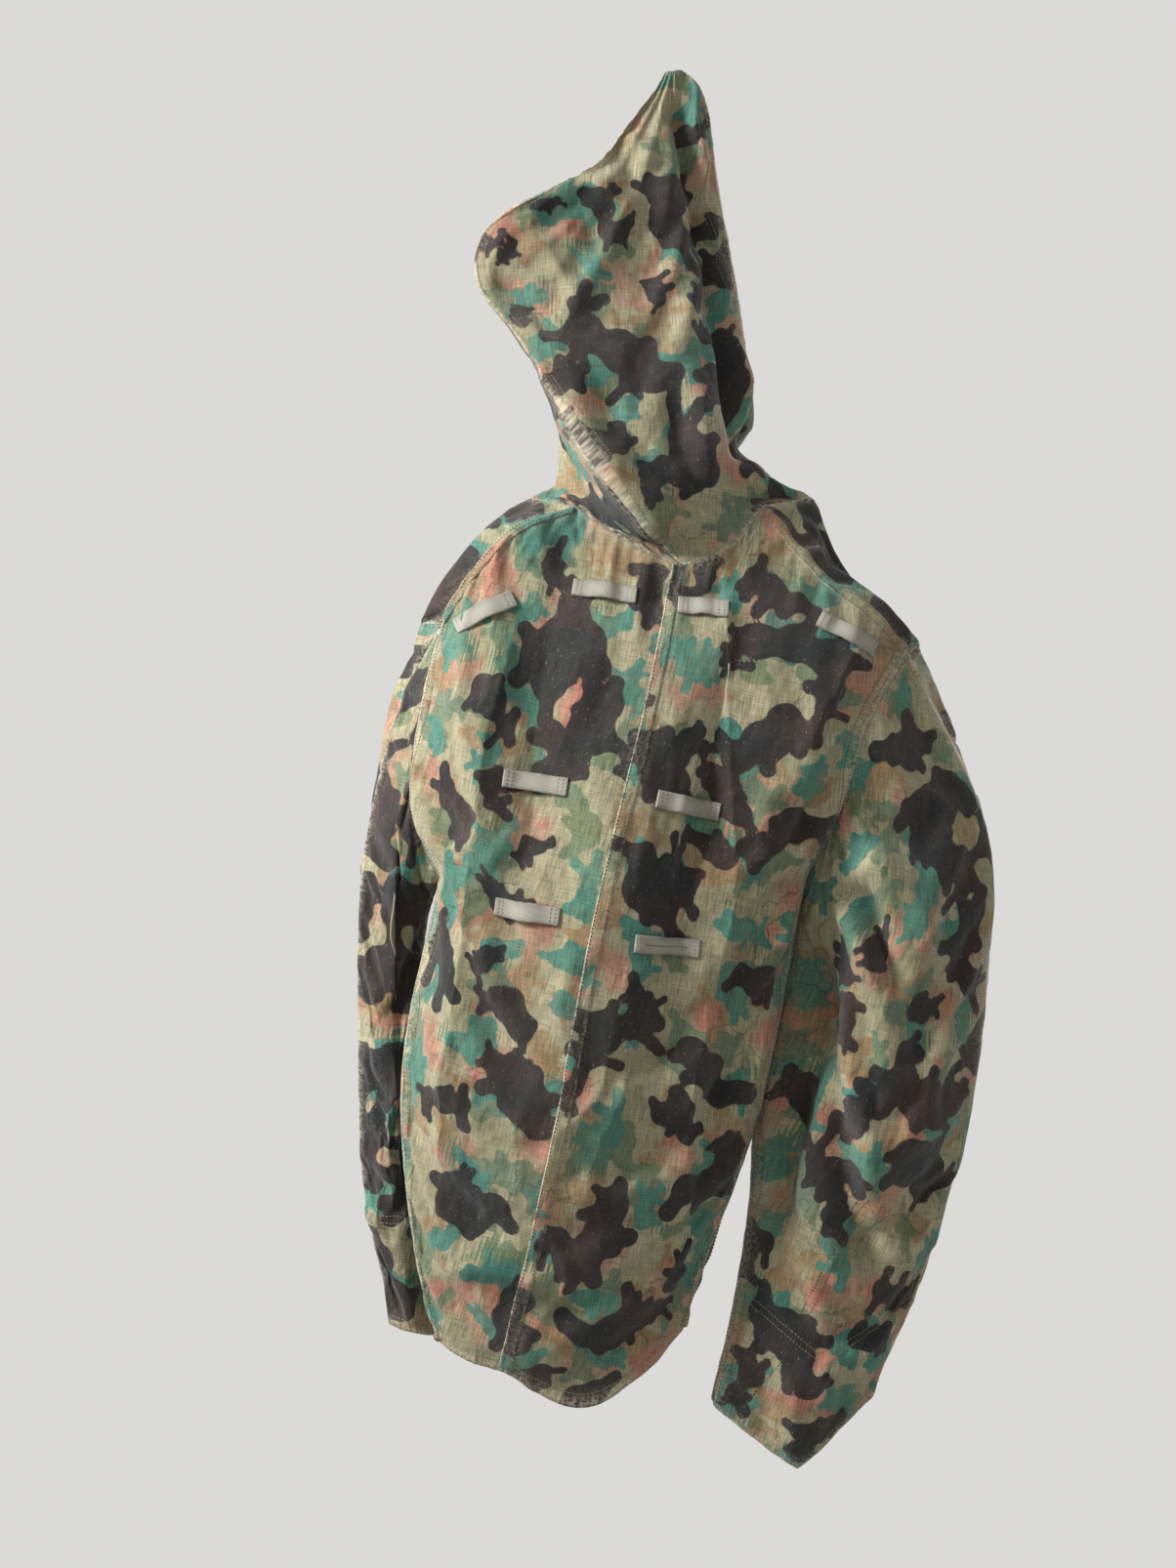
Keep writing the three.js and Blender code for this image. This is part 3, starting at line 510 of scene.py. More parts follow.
def hood_folds(x, down):
    h = wrinkles(x, down, 31)
    h += fold(x, down, [(-2, 22), (10, 74), (19, 109), (28, 170), (39, 231), (48, 291), (62, 372)],
              -19, 9, ends=0.08)
    h += fold(x, down, [(8, 30), (22, 90), (36, 170), (50, 250), (62, 330)], 8, 10)
    h += fold(x, down, [(-10, 40), (-8, 120), (4, 220), (16, 320), (30, 400)], 7, 14)
    h += fold(x, down, [(-104, 300), (-78, 340), (-40, 394), (6, 440)], 9, 15, ends=0.2)
    h += fold(x, down, [(-84, 290), (-52, 340), (-16, 384), (20, 420)], -8, 12, ends=0.2)
    for line, height in (
            ([(-50, 60), (-36, 76), (-20, 104)], 4), ([(-66, 84), (-46, 96), (-26, 130)], -4),
            ([(-92, 108), (-66, 116), (-40, 150)], 4), ([(-120, 128), (-92, 140), (-60, 190)], -3.5),
            ([(-150, 150), (-118, 172), (-80, 236)], 4), ([(-172, 200), (-138, 214), (-96, 270)], -4),
            ([(-150, 236), (-110, 262), (-70, 320)], 4.5), ([(-10, 300), (4, 360), (30, 420)], -5),
            ([(-60, 320), (-30, 372), (0, 410)], 3.5)):
        h += fold(x, down, line, height, 9, ends=0.3)
    return h


def sleeve_right_folds(a, d):
    h = wrinkles(a, d, 51)
    h += fold(a, d, [(176, 250), (180, 340), (182, 440), (188, 540)], -24, 16, ends=0.2)
    h += fold(a, d, [(180, 300), (202, 380), (222, 436), (250, 498), (296, 558)], -13, 13)
    h += fold(a, d, [(196, 290), (219, 370), (243, 432), (275, 494), (318, 556)], 5, 11)
    for line, height, width in (
            ([(172, 240), (204, 241), (231, 278), (255, 316)], -16, 10),
            ([(174, 226), (210, 214), (246, 238), (276, 284)], 10, 12),
            ([(176, 200), (214, 184), (252, 196)], -6, 11),
            ([(182, 252), (206, 270), (226, 310)], 7, 9),
            ([(330, 300), (290, 330), (262, 372)], -6, 13),
            ([(340, 400), (300, 410), (262, 440)], 5, 14),
            ([(338, 480), (306, 470), (270, 476)], -6, 11),
            ([(198, 540), (232, 560), (262, 600)], 6, 11),
            ([(190, 500), (214, 520), (240, 560)], -6, 10),
            ([(206, 640), (222, 680), (226, 720)], -6, 8),
            ([(232, 630), (246, 680), (252, 724)], 5, 8),
            ([(278, 610), (282, 660), (276, 704)], -5, 9)):
        h += fold(a, d, line, height, width, ends=0.3)
    return h


def sleeve_left_folds(a, d):
    h = wrinkles(a, d, 71)
    for line, height in (
            ([(-204, 150), (-184, 190), (-176, 250)], -5), ([(-214, 260), (-190, 280), (-168, 320)], 5),
            ([(-206, 320), (-182, 336), (-160, 372)], -5), ([(-196, 400), (-170, 420), (-150, 460)], 5),
            ([(-180, 470), (-156, 500), (-136, 540)], -4), ([(-150, 590), (-130, 600), (-96, 596)], 4)):
        h += fold(a, d, line, height, 9, ends=0.3)
    return h


def front_folds(a, d):
    h = wrinkles(a, d, 91)
    h += fold(a, d, [(90, 20), (100, 200), (84, 420), (96, 600)], 5, 11, sharp=True)
    h += fold(a, d, [(-80, 60), (-70, 240), (-50, 430), (-30, 620)], 5, 11, sharp=True)
    h += fold(a, d, [(150, 230), (110, 260), (80, 330)], -5, 12, ends=0.3)
    h += fold(a, d, [(-130, 300), (-90, 330), (-60, 400)], -5, 12, ends=0.3)
    return h


def folded(name, grid):
    """How far each point of a panel stands off its smooth shape, in millimetres."""
    a, d = on_body(grid)
    if name.startswith("hood"):
        height = hood_folds(grid[..., 0], -grid[..., 2])
    elif name.startswith("sleeve_right"):
        height = sleeve_right_folds(a, d)
    elif name.startswith("sleeve_left"):
        height = sleeve_left_folds(a, d)
    elif name.startswith("back"):
        height = back_folds(a, d)
    else:
        height = front_folds(a, d)
    if name.startswith("sleeve") and name.endswith("front"):
        height = wrinkles(a, d, 131)
    return height


def settle(name, grid, height):
    """Quietens the folds towards a panel's edges, where the seams hold the cloth."""
    rows, columns = height.shape
    u = np.linspace(0, 1, columns)[None]
    v = np.linspace(0, 1, rows)[:, None]
    hold = np.clip((1 - u) / 0.12, 0.15, 1)
    if name.startswith("sleeve"):
        hold = np.clip(np.minimum(u, 1 - u) / 0.1, 0.15, 1) * np.clip(v / 0.06, 0.2, 1)
    if name.startswith("hood"):
        hold = np.clip((1 - u) / 0.08, 0.2, 1) * np.clip((1 - v) / 0.05, 0.2, 1)
        hold = hold * np.clip(v / 0.05, 0.1, 1)
    if name.startswith(("back", "front")):
        hold = hold * np.clip(v / 0.05, 0.25, 1) + 0 * v
    return height * hold


def ripple(points, name):
    """Small puckers beside the seams, drawn up by the stitching."""
    rows, columns = points.shape[:2]
    along = np.linspace(0, 1, rows)[:, None] * 700
    over = np.linspace(0, 1, columns)[None] * 260
    sides = np.minimum(over, 260 - over)
    ends = np.minimum(along, 700 - along)
    beside_side = np.exp(-sides / 9) * noise(along / 8.5, over / 30, 7 + len(name))
    beside_end = np.exp(-ends / 9) * noise(over / 8.5, along / 30, 9 + len(name))
    return 0.55 * (beside_side + beside_end)


# ------------------------------------------------------------------ draping the cloth
# The sewn cloth is left to hang for a moment. It is a little larger than the shape that it is
# pinned to along its seams, so it buckles as slack cotton does. A cap keeps each point near home.
COARSE, FINE = 4, 12
DRAPE_FRAMES = 18
DRAPE_CAP = 9


def drape(sewn, start):
    """Where the sewn points hang after Blender's cloth has moved them."""
    mesh = bpy.data.meshes.new("cloth_draft")
    mesh.from_pydata((start * MM).tolist(), [], sewn.faces.tolist())
    draft = bpy.data.objects.new("cloth_draft", mesh)
    scene.collection.objects.link(draft)
    hold = {name: np.zeros((*shape, 1)) for name, shape in zip(sewn.names, sewn.shapes)}
    for name, grid in hold.items():
        grid[...] = 0.12
        grid[:, -1] = 1
        grid[0] = 1
        if name.startswith("sleeve"):
            grid[:, 0] = 1
        if name.startswith("hood"):
            grid[-1] = 1
    weights = np.maximum.reduceat(
        np.concatenate([hold[n].reshape(-1) for n in sewn.names])[np.argsort(sewn.index)],
        np.concatenate([[0], np.cumsum(sewn.share)[:-1]]).astype(int))
    pins = draft.vertex_groups.new(name="pins")
    for level in np.unique(weights):
        pins.add(np.flatnonzero(weights == level).tolist(), float(level), "REPLACE")
    cloth = draft.modifiers.new("cloth", "CLOTH").settings
    cloth.quality = 6
    cloth.mass = 0.25
    cloth.tension_stiffness = 25
    cloth.compression_stiffness = 25
    cloth.shear_stiffness = 8
    cloth.bending_stiffness = 0.8
    cloth.vertex_group_mass = "pins"
    cloth.pin_stiffness = 3
    cloth.shrink_min = -0.035
    for step in range(1, DRAPE_FRAMES + 1):
        scene.frame_set(step)
    hung = draft.evaluated_get(bpy.context.evaluated_depsgraph_get()).data
    points = np.empty(sewn.size * 3, np.float32)
    hung.vertices.foreach_get("co", points)
    scene.frame_set(1)
    bpy.data.objects.remove(draft)
    moved = points.reshape(-1, 3) / MM - start
    far = np.linalg.norm(moved, axis=1, keepdims=True)
    return moved * (DRAPE_CAP * np.tanh(far / DRAPE_CAP) / np.maximum(far, 1e-6))


def finer(values, shape):
    """A coarse grid of values on a finer one, along smooth cubics in both directions."""
    def weights(coarse, fine):
        place = np.linspace(0, coarse - 1, fine)
        first = np.minimum(place.astype(int), coarse - 2)
        t = place - first
        table = np.zeros((fine, coarse))
        cubic = (-t ** 3 + 2 * t ** 2 - t, 3 * t ** 3 - 5 * t ** 2 + 2,
                 -3 * t ** 3 + 4 * t ** 2 + t, t ** 3 - t ** 2)
        for k, weight in enumerate(cubic):
            np.add.at(table, (np.arange(fine), np.clip(first + k - 1, 0, coarse - 1)), weight / 2)
        return table
    down, over = weights(values.shape[0], shape[0]), weights(values.shape[1], shape[1])
    return np.einsum("ir,jc,rck->ijk", down, over, values)


fine_cut = laid_out(FINE)
fine = Sewn(fine_cut)
smooth_points = fine.join(fine_cut)
smooth_normals = fine.normals(smooth_points)
heights = {n: settle(n, g, folded(n, g))[..., None] for n, g in fine_cut.items()}
points = smooth_points + smooth_normals * fine.join(heights)
coarse_cut = laid_out(COARSE)
coarse = Sewn(coarse_cut)
coarse_points = coarse.join(coarse_cut)
moved = coarse.part(drape(coarse, coarse_points))
points = points + fine.join({
    name: finer(moved[name], fine_cut[name].shape[:2]) for name in fine.names})
puckers = fine.join({n: ripple(g, n)[..., None] for n, g in fine_cut.items()})
points = points + fine.normals(points) * puckers
cloth_points = fine.part(points)
cloth_normals = fine.part(fine.normals(points))


# ------------------------------------------------------------------ printed cotton
# Cotton twill, screen-printed with camouflage and washed many times: matt, faded, and worn pale along
# seams and hems. Blotches lie over each other in the order that they were printed.
def melt(a, b, reach):
    """The nearer of two distances, run together like drops within the reach."""
    share = np.clip(0.5 + 0.5 * (b - a) / reach, 0, 1)
    return b * (1 - share) + a * share - reach * share * (1 - share)


def blotches(p, q, motifs, seed):
    """Distance from the printed blotches, negative inside: each a bent body with round fingers."""
    away = np.full(p.shape, 60.0)
    drift = 1.5 * noise(p / 21, q / 21, seed), 1.5 * noise(p / 21, q / 21, seed + 1)
    p, q = p + drift[0], q + drift[1]
    for x, y, size in motifs:
        chance = np.random.default_rng([seed, int(x * 9) + 90000, int(y * 9) + 90000])
        way, bend = chance.uniform(0, 2 * math.pi), chance.uniform(-1.3, 1.3)
        spine = [(0.0, 0.0, chance.uniform(0.32, 0.42))]
        for end, turn in ((1, way), (-1, way + bend)):
            far = end * chance.uniform(0.4, 0.62)
            spine.append((far * math.cos(turn), far * math.sin(turn), chance.uniform(0.22, 0.34)))
        fingers = []
        for k in range(9):
            root = spine[k % 3]
            turn = chance.uniform(0, 2 * math.pi)
            reach = chance.uniform(0.34, 0.66)
            fingers.append((root, root[0] + reach * math.cos(turn), root[1] + reach * math.sin(turn),
                            chance.uniform(0.1, 0.19)))
        near = (np.abs(p - x) < 2.3 * size) & (np.abs(q - y) < 2.3 * size)
        if not near.any():
            continue
        px, qx = (p[near] - x) / size, (q[near] - y) / size
        blot = np.full(px.shape, 9.0)
        for cx, cy, radius in spine:
            blot = melt(blot, np.hypot(px - cx, qx - cy) - radius, 0.14)
        for root, tx, ty, radius in fingers:
            step = tx - root[0], ty - root[1]
            along = (px - root[0]) * step[0] + (qx - root[1]) * step[1]
            along = np.clip(along / (step[0] ** 2 + step[1] ** 2), 0, 1)
            stalk = np.hypot(px - root[0] - along * step[0], qx - root[1] - along * step[1])
            blot = melt(blot, stalk - radius * (0.7 + 0.3 * along), 0.1)
        away[near] = np.minimum(away[near], blot * size)
    return away


def strewn(p, q, pitch, size, seed):
    """Places for blotches over a panel, one to each cell of a loose grid."""
    places = []
    for i in range(int(p.min() / pitch) - 2, int(p.max() / pitch) + 3):
        for j in range(int(q.min() / pitch) - 2, int(q.max() / pitch) + 3):
            chance = np.random.default_rng([seed, i + 900, j + 900])
            x, y = chance.uniform(-0.42, 0.42, 2) + (i, j)
            places.append((x * pitch, y * pitch, size * chance.uniform(0.7, 1.25)))
    return places


# The dark blotches on the back, the hood and the right sleeve: across, down and size.
BACK_DARK = [
    (-93, 97, 36), (-60, 78, 28), (-128, 146, 24), (-40, 150, 32), (-62, 184, 22), (18, 168, 28),
    (40, 142, 20), (116, 44, 34), (150, 76, 24), (96, 6, 22), (72, 60, 16), (106, 128, 30),
    (86, 172, 24), (142, 190, 24), (96, 226, 22), (30, 262, 34), (70, 250, 22), (18, 384, 32),
    (52, 362, 22), (116, 402, 28), (96, 440, 24), (-146, 236, 26), (-112, 210, 18), (-80, 300, 18),
    (-140, 352, 30), (-58, 380, 24), (-84, 352, 16), (-30, 456, 32), (-52, 432, 20),
    (-54, 560, 30), (-80, 540, 18), (50, 548, 30), (26, 572, 22), (76, 636, 30), (110, 620, 18),
    (-8, 640, 24), (60, 704, 26), (20, 690, 18), (136, 500, 28), (150, 462, 18), (-100, 470, 20),
    (150, 320, 20), (-20, 26, 22), (24, 2, 16), (-100, 30, 18), (-66, 250, 14), (130, 580, 16)]
HOOD_DARK = [
    (-52, 268, 40), (-84, 250, 24), (-22, 292, 26), (0, 116, 24), (-10, 150, 26), (-66, 138, 20),
    (-52, 158, 14), (6, 360, 30), (-24, 376, 18), (60, 290, 34), (46, 250, 20), (44, 184, 22),
    (38, 148, 14), (-166, 172, 12), (-148, 178, 10), (-108, 300, 22), (-76, 356, 26),
    (-120, 330, 16), (78, 350, 22), (26, 60, 14), (-116, 136, 10), (-140, 240, 12),
    (20, 214, 14), (-20, 210, 14), (86, 400, 16)]
SLEEVE_DARK = [
    (240, 112, 28), (276, 150, 34), (300, 196, 30), (258, 184, 22), (322, 250, 26), (332, 292, 22),
    (284, 320, 16), (268, 380, 30), (306, 398, 26), (330, 380, 18), (298, 448, 32), (326, 470, 20),
    (228, 424, 24), (220, 470, 24), (232, 500, 18), (216, 610, 32), (238, 640, 22), (204, 660, 22),
    (300, 600, 20), (318, 560, 22), (200, 344, 20), (184, 300, 18), (216, 276, 18), (262, 700, 18),
    (350, 180, 26), (370, 340, 26), (160, 420, 24), (160, 560, 26), (280, 680, 16)]
INKS = (("tan", 74, 31, 1), ("salmon", 76, 30, 2), ("sage", 74, 27, 3), ("green", 66, 27, 4))
DARK_GROWTH = 1.5


def inks(p, q, dark, seed):
    """The distance of every point from each colour's blotches, as one array for each colour."""
    layers = {name: blotches(p, q, strewn(p, q, pitch, size, seed + k), seed + 10 * k)
              for name, pitch, size, k in INKS}
    places = dark or strewn(p, q, 66, 31, seed + 5)
    places = [(x, y, size * DARK_GROWTH) for x, y, size in places]
    layers["dark"] = blotches(p, q, places, seed + 6)
    return layers


def edge_wear(rows, columns, width=260, length=700):
    """How worn the cloth is, from 0 to 1: most along the edges of a panel."""
    v = np.linspace(0, 1, rows)[:, None] * length
    u = np.linspace(0, 1, columns)[None] * width
    edge = np.minimum(np.minimum(u, width - u), np.minimum(v, length - v))
    return np.exp(-edge / 5)


PRINT_DEPTH = 0.44


def printed_cotton(name, wear=1.0):
    """The twill's material: the print from its attributes, threads, wear and weave from its UV."""
    made, tree, shader = new_material(name)
    uv = add(tree, "ShaderNodeUVMap", uv_map="cloth").outputs[0]

    def maths(operation, *values, clamp=False):
        settings = dict(operation=operation, use_clamp=clamp)
        return add(tree, "ShaderNodeMath", dict(enumerate(values)), **settings).outputs[0]

    def speckle(scale, detail=2.0, stretched=(1.0, 1.0, 1.0)):
        place = add(tree, "ShaderNodeMapping", {"Vector": uv, "Scale": stretched}).outputs[0]
        inputs = {"Vector": place, "Scale": scale, "Detail": detail}
        return add(tree, "ShaderNodeTexNoise", inputs).outputs[0]

    def mix(share, under, over):
        inputs = {0: share, 6: under, 7: over}
        return add(tree, "ShaderNodeMix", inputs, data_type="RGBA").outputs[2]

    def ramp(value, low, high, start=0.0, end=1.0):
        inputs = {0: value, 1: low, 2: high, 3: start, 4: end}
        return add(tree, "ShaderNodeMapRange", inputs).outputs[0]

    def attribute(key):
        return add(tree, "ShaderNodeAttribute", attribute_name=key).outputs["Fac"]

    # The screen's edge wanders by 2 mm, and each thread catches the ink a little differently.
    wander = maths("MULTIPLY", maths("SUBTRACT", speckle(70), 0.5), 2.4)
    thread_edge = maths("MULTIPLY", maths("SUBTRACT", speckle(900), 0.5), 1.1)
    drift = maths("ADD", wander, thread_edge)
    cloudy = speckle(14, 4.0)
    patchy = speckle(22, 3.0)

    def ink(key, softness=0.5):
        return ramp(maths("ADD", attribute(key), drift), softness, -softness)

    colour = mix(ramp(cloudy, 0.35, 0.7), rgb("BFB68F"), rgb("A9A37C"))
    colour = mix(maths("MULTIPLY", ink("tan", 1.2), ramp(patchy, 0.3, 0.6, 0.55, 1.0)),
                 colour, rgb("A98A5C"))
    salmon = maths("MULTIPLY", ink("salmon", 4.0), ramp(patchy, 0.35, 0.65, 0.35, 1.0))
    colour = mix(salmon, colour, rgb("CC7F66"))
    sage = mix(ramp(cloudy, 0.4, 0.6), rgb("78895F"), rgb("6D8A6E"))
    colour = mix(maths("MULTIPLY", ink("sage"), 0.85), colour, sage)
    green = mix(ramp(cloudy, 0.38, 0.62), rgb("3F8C7C"), rgb("55937C"))
    colour = mix(maths("MULTIPLY", ink("green"), ramp(patchy, 0.3, 0.5, 0.75, 0.97)),
                 colour, green)
    # Comb-like strokes 2 mm wide run out of the green over the pale ground.
    strokes = add(tree, "ShaderNodeTexWave", {
        "Vector": uv, "Scale": 78.0, "Distortion": 1.2, "Detail": 1.0, "Detail Scale": 0.6},
        wave_type="BANDS", bands_direction="X").outputs[1]
    reach = ramp(maths("ADD", attribute("green"), maths("MULTIPLY", wander, 1.4)), 8.0, 6.5)
    combed = maths("MULTIPLY", maths("MULTIPLY", ramp(strokes, 0.52, 0.6), reach),
                   ramp(speckle(16), 0.56, 0.6))
    colour = mix(combed, colour, rgb("6F8E68"))
    # Fine dark lines, like pencil, wander through the print.
    lines = add(tree, "ShaderNodeTexVoronoi", {
        "Vector": add(tree, "ShaderNodeVectorMath", {
            0: uv,
            1: add(tree, "ShaderNodeVectorMath", {
                0: add(tree, "ShaderNodeTexNoise", {"Vector": uv, "Scale": 45.0}).outputs[1],
                3: 0.02}, operation="SCALE").outputs[0]}).outputs[0],
        "Scale": 24.0}, feature="DISTANCE_TO_EDGE").outputs[0]
    pencil = maths("MULTIPLY", ramp(lines, 0.016, 0.004), ramp(speckle(9), 0.5, 0.56, 0, 0.55))
    colour = mix(pencil, colour, rgb("4C4538"))
    dark = mix(ramp(cloudy, 0.44, 0.6), rgb("1F1E20"), rgb("3B2826"))
    colour = mix(maths("MULTIPLY", ink("dark"), 0.97), colour, dark)

    # Warp threads 1 mm apart run down the cloth and weft threads cross them, unevenly inked.
    warp = speckle(1.0, 3.0, (900.0, 55.0, 1.0))
    weft = speckle(1.0, 3.0, (55.0, 900.0, 1.0))
    threads = maths("ADD", ramp(warp, 0.3, 0.7, -0.16, 0.16), ramp(weft, 0.3, 0.7, -0.1, 0.1))
    colour = add(tree, "ShaderNodeHueSaturation", {
        "Value": maths("ADD", threads, PRINT_DEPTH), "Saturation": 0.94,
        "Color": colour}).outputs[0]
    # Slubs and worn threads show white through the ink.
    slubs = maths("MULTIPLY", ramp(speckle(1.0, 1.0, (1100.0, 260.0, 1.0)), 0.69, 0.76), 0.24)
    colour = mix(slubs, colour, rgb("C9C5B4"))
    rubbed = maths("MULTIPLY", attribute("wear"), ramp(speckle(330, 3.0), 0.4, 0.62, 0.1, wear))
    colour = mix(maths("MULTIPLY", rubbed, 0.62), colour, rgb("B7AD97"))
    # The reverse takes little ink.
    colour = mix(maths("MULTIPLY", attribute("reverse"), 0.55), colour, rgb("9A9078"))
    tree.links.new(colour, shader.inputs["Base Color"])

    twill = add(tree, "ShaderNodeTexWave", {
        "Vector": uv, "Scale": 330.0, "Distortion": 1.5, "Detail Scale": 3.0},
        wave_type="BANDS", bands_direction="DIAGONAL").outputs[1]
    weave = maths("ADD", maths("MULTIPLY", twill, 0.5), maths("ADD", warp, weft))
    bump = add(tree, "ShaderNodeBump", {"Strength": 0.55, "Distance": 0.0006, "Height": weave})
    crumple = add(tree, "ShaderNodeBump", {
        "Strength": 0.5, "Distance": 0.004, "Height": speckle(110, 4.0),
        "Normal": bump.outputs[0]})
    tree.links.new(crumple.outputs[0], shader.inputs["Normal"])
    shader.inputs["Roughness"].default_value = 0.92
    shader.inputs["Specular IOR Level"].default_value = 0.25
    shader.inputs["Sheen Weight"].default_value = 0.12
    shader.inputs["Sheen Roughness"].default_value = 0.6
    return made


cotton = printed_cotton("faded_printed_cotton_twill")
CLOTH = 0.8


def shell(name, outer, inner, layers, uv, material):
    """A closed sheet: an outer and an inner grid of points in mm, with a rim round the edge."""
    rows, columns = outer.shape[:2]
    count = rows * columns
    at = np.arange(count).reshape(rows, columns)
    over = np.stack([at[:-1, :-1], at[1:, :-1], at[1:, 1:], at[:-1, 1:]], axis=-1).reshape(-1, 4)
    loop = np.concatenate([at[0, :-1], at[:-1, -1], at[-1, :0:-1], at[:0:-1, 0]])
    after = np.roll(loop, -1)
    rims = np.stack([loop, after, after + count, loop + count], axis=1)
    faces = np.concatenate([over, over[:, ::-1] + count, rims])
    corner = outer.reshape(-1, 3)[over]
    way = np.cross(corner[:, 2] - corner[:, 0], corner[:, 3] - corner[:, 1])
    lift = (outer - inner).reshape(-1, 3)[over].mean(axis=1)
    if (way * lift).sum() < 0:
        faces = faces[:, ::-1]
    mesh = bpy.data.meshes.new(name)
    both = np.concatenate([outer.reshape(-1, 3), inner.reshape(-1, 3)]) * MM
    mesh.from_pydata(both.tolist(), [], faces.tolist())
    for key, values in layers.items():
        data = mesh.attributes.new(key, "FLOAT", "POINT").data
        flat = np.broadcast_to(values, (rows, columns)).reshape(-1)
        data.foreach_set("value", np.concatenate([flat, flat]).astype(np.float32))
    reverse = np.concatenate([np.zeros(count), np.ones(count)]).astype(np.float32)
    mesh.attributes.new("reverse", "FLOAT", "POINT").data.foreach_set("value", reverse)
    per_point = np.concatenate([uv.reshape(-1, 2)] * 2) * MM
    corners = np.empty(len(mesh.loops), np.int32)
    mesh.loops.foreach_get("vertex_index", corners)
    mesh.uv_layers.new(name="cloth").data.foreach_set(
        "uv", per_point[corners].astype(np.float32).reshape(-1))
    mesh.polygons.foreach_set("use_smooth", np.arange(len(faces)) < 2 * len(over))
    return new_object(mesh, material)


def unrolled(grid):
    """Print coordinates: across along the cloth from the panel's ridge, and straight down."""
    steps = np.linalg.norm(np.diff(grid[..., :2], axis=1), axis=2)
    sideways = np.sign(grid[:, -1:, 0] - grid[:, :1, 0])
    run = np.concatenate([np.zeros((grid.shape[0], 1)), np.cumsum(steps, axis=1)], axis=1)
    return run * sideways


def from_middle(place, run):
    """Runs along the cloth, shifted to agree with the places of each row's middle point."""
    middle = place.shape[1] // 2
    return place[:, middle:middle + 1] + run - run[:, middle:middle + 1]


def hang(piece, part):
    """Bakes a hood or sleeve piece's transform into its mesh, and parents any other piece to the body's
    empty.
    """
    if part == "hood":
        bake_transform(piece)
    elif part == "sleeve_right":
        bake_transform(piece)
    elif part == "sleeve_left":
        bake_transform(piece)
    else:
        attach(piece, "body")


def part_of(name):
    return next((p for p in ("hood", "sleeve_right", "sleeve_left") if p in name), "body")


# ------------------------------------------------------------------ the ten panels
# Each panel is one piece of printed cotton, cut to its seams and sewn to its neighbours. The
# print was on the cloth before it was cut, so it breaks at every seam.
prints = {}
panels = {}
for number, name in enumerate(fine.names):
    grid = fine_cut[name]
    a, d = on_body(grid)
    run = unrolled(grid)
    if name.startswith("back"):
        p, q, dark = run, d, BACK_DARK
    elif name == "hood_right":
        p, q, dark = from_middle(grid[..., 0], run), -grid[..., 2], HOOD_DARK
    elif name == "hood_left":
        p, q, dark = -np.abs(run), -grid[..., 2], None
    elif name == "sleeve_right_back":
        p, q, dark = from_middle(a, run), d, SLEEVE_DARK
    else:
        p, q, dark = a + 400 * number, d + 90 * number, None
    layers = inks(p, q, dark, 40 + number)
    layers["wear"] = edge_wear(*p.shape)
    prints[name] = (p, q, dark, 40 + number)
    outer = cloth_points[name]
    inner = outer - cloth_normals[name] * CLOTH
    piece = shell(name + "_panel", outer, inner, layers, np.stack([p, q], axis=-1), cotton)
    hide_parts(name)
    hang(piece, part_of(name))
    panels[name] = piece


# ------------------------------------------------------------------ strips of folded cloth
# The flat-felled centre back and shoulder seams, the turned hem, the casings round the face, the
# facings inside the cuffs and the button placket: strips of the same cotton, sewn to the panels.
FELL_WIDTH = 11
HEM_FACING = 12
CASING = 22
CUFF_FACING = 105
PLACKET_WIDTH = 40
STRIP = 0.7          # thickness of a sewn strip
LAID_OFF = 0.12      # how far a strip lies off the cloth
FELL_START, FELL_SPAN = 0.004, 0.99
SHOULDER_START, SHOULDER_SPAN = 0.02, 0.96
CASING_START, CASING_SPAN = 0.1, 0.78
CUFF_START, CUFF_SPAN = 0.03, 0.94
HEM_SPAN = 0.97


def sample(name, u, v):
    """A panel's points and outward ways at shares (u, v), between the four points around each."""
    u, v = np.broadcast_arrays(np.asarray(u, float), np.asarray(v, float))
    rows, columns = (n - 1 for n in cloth_points[name].shape[:2])
    i = np.clip((v * rows).astype(int), 0, rows - 1)
    j = np.clip((u * columns).astype(int), 0, columns - 1)
    t, s = (v * rows - i)[..., None], (u * columns - j)[..., None]

    def pick(grid):
        near = grid[i, j] * (1 - s) + grid[i, j + 1] * s
        return near * (1 - t) + (grid[i + 1, j] * (1 - s) + grid[i + 1, j + 1] * s) * t
    return pick(cloth_points[name]), pick(cloth_normals[name])


def print_at(name, u, v):
    """The print's own coordinates on a panel at shares (u, v)."""
    u, v = np.broadcast_arrays(np.asarray(u, float), np.asarray(v, float))
    p, q = prints[name][:2]
    i = np.clip(np.rint(v * (p.shape[0] - 1)).astype(int), 0, p.shape[0] - 1)
    j = np.clip(np.rint(u * (p.shape[1] - 1)).astype(int), 0, p.shape[1] - 1)
    return p[i, j], q[i, j]


def slope(name, axis, end):
    """Millimetres of cloth for a whole share along u (axis 1) or v (axis 0), near one end."""
    grid = fine_cut[name]
    count = grid.shape[axis] - 1
    reach = max(2, count // 10)
    steps = np.linalg.norm(np.diff(grid, axis=axis), axis=2)
    steps = steps if end == 0 else np.flip(steps, axis)
    run = np.take(steps, np.arange(reach), axis=axis).sum(axis=axis)
    return run * count / reach


def from_ridge(name, offset, v):
    """The share u at which the cloth is so many millimetres from the panel's ridge."""
    table = slope(name, 1, 0)
    return offset / np.interp(v, np.linspace(0, 1, len(table)), table)


def from_side(name, offset, v):
    table = slope(name, 1, 1)
    return 1 - offset / np.interp(v, np.linspace(0, 1, len(table)), table)


def from_top(name, offset, u):
    table = slope(name, 0, 0)
    return offset / np.interp(u, np.linspace(0, 1, len(table)), table)


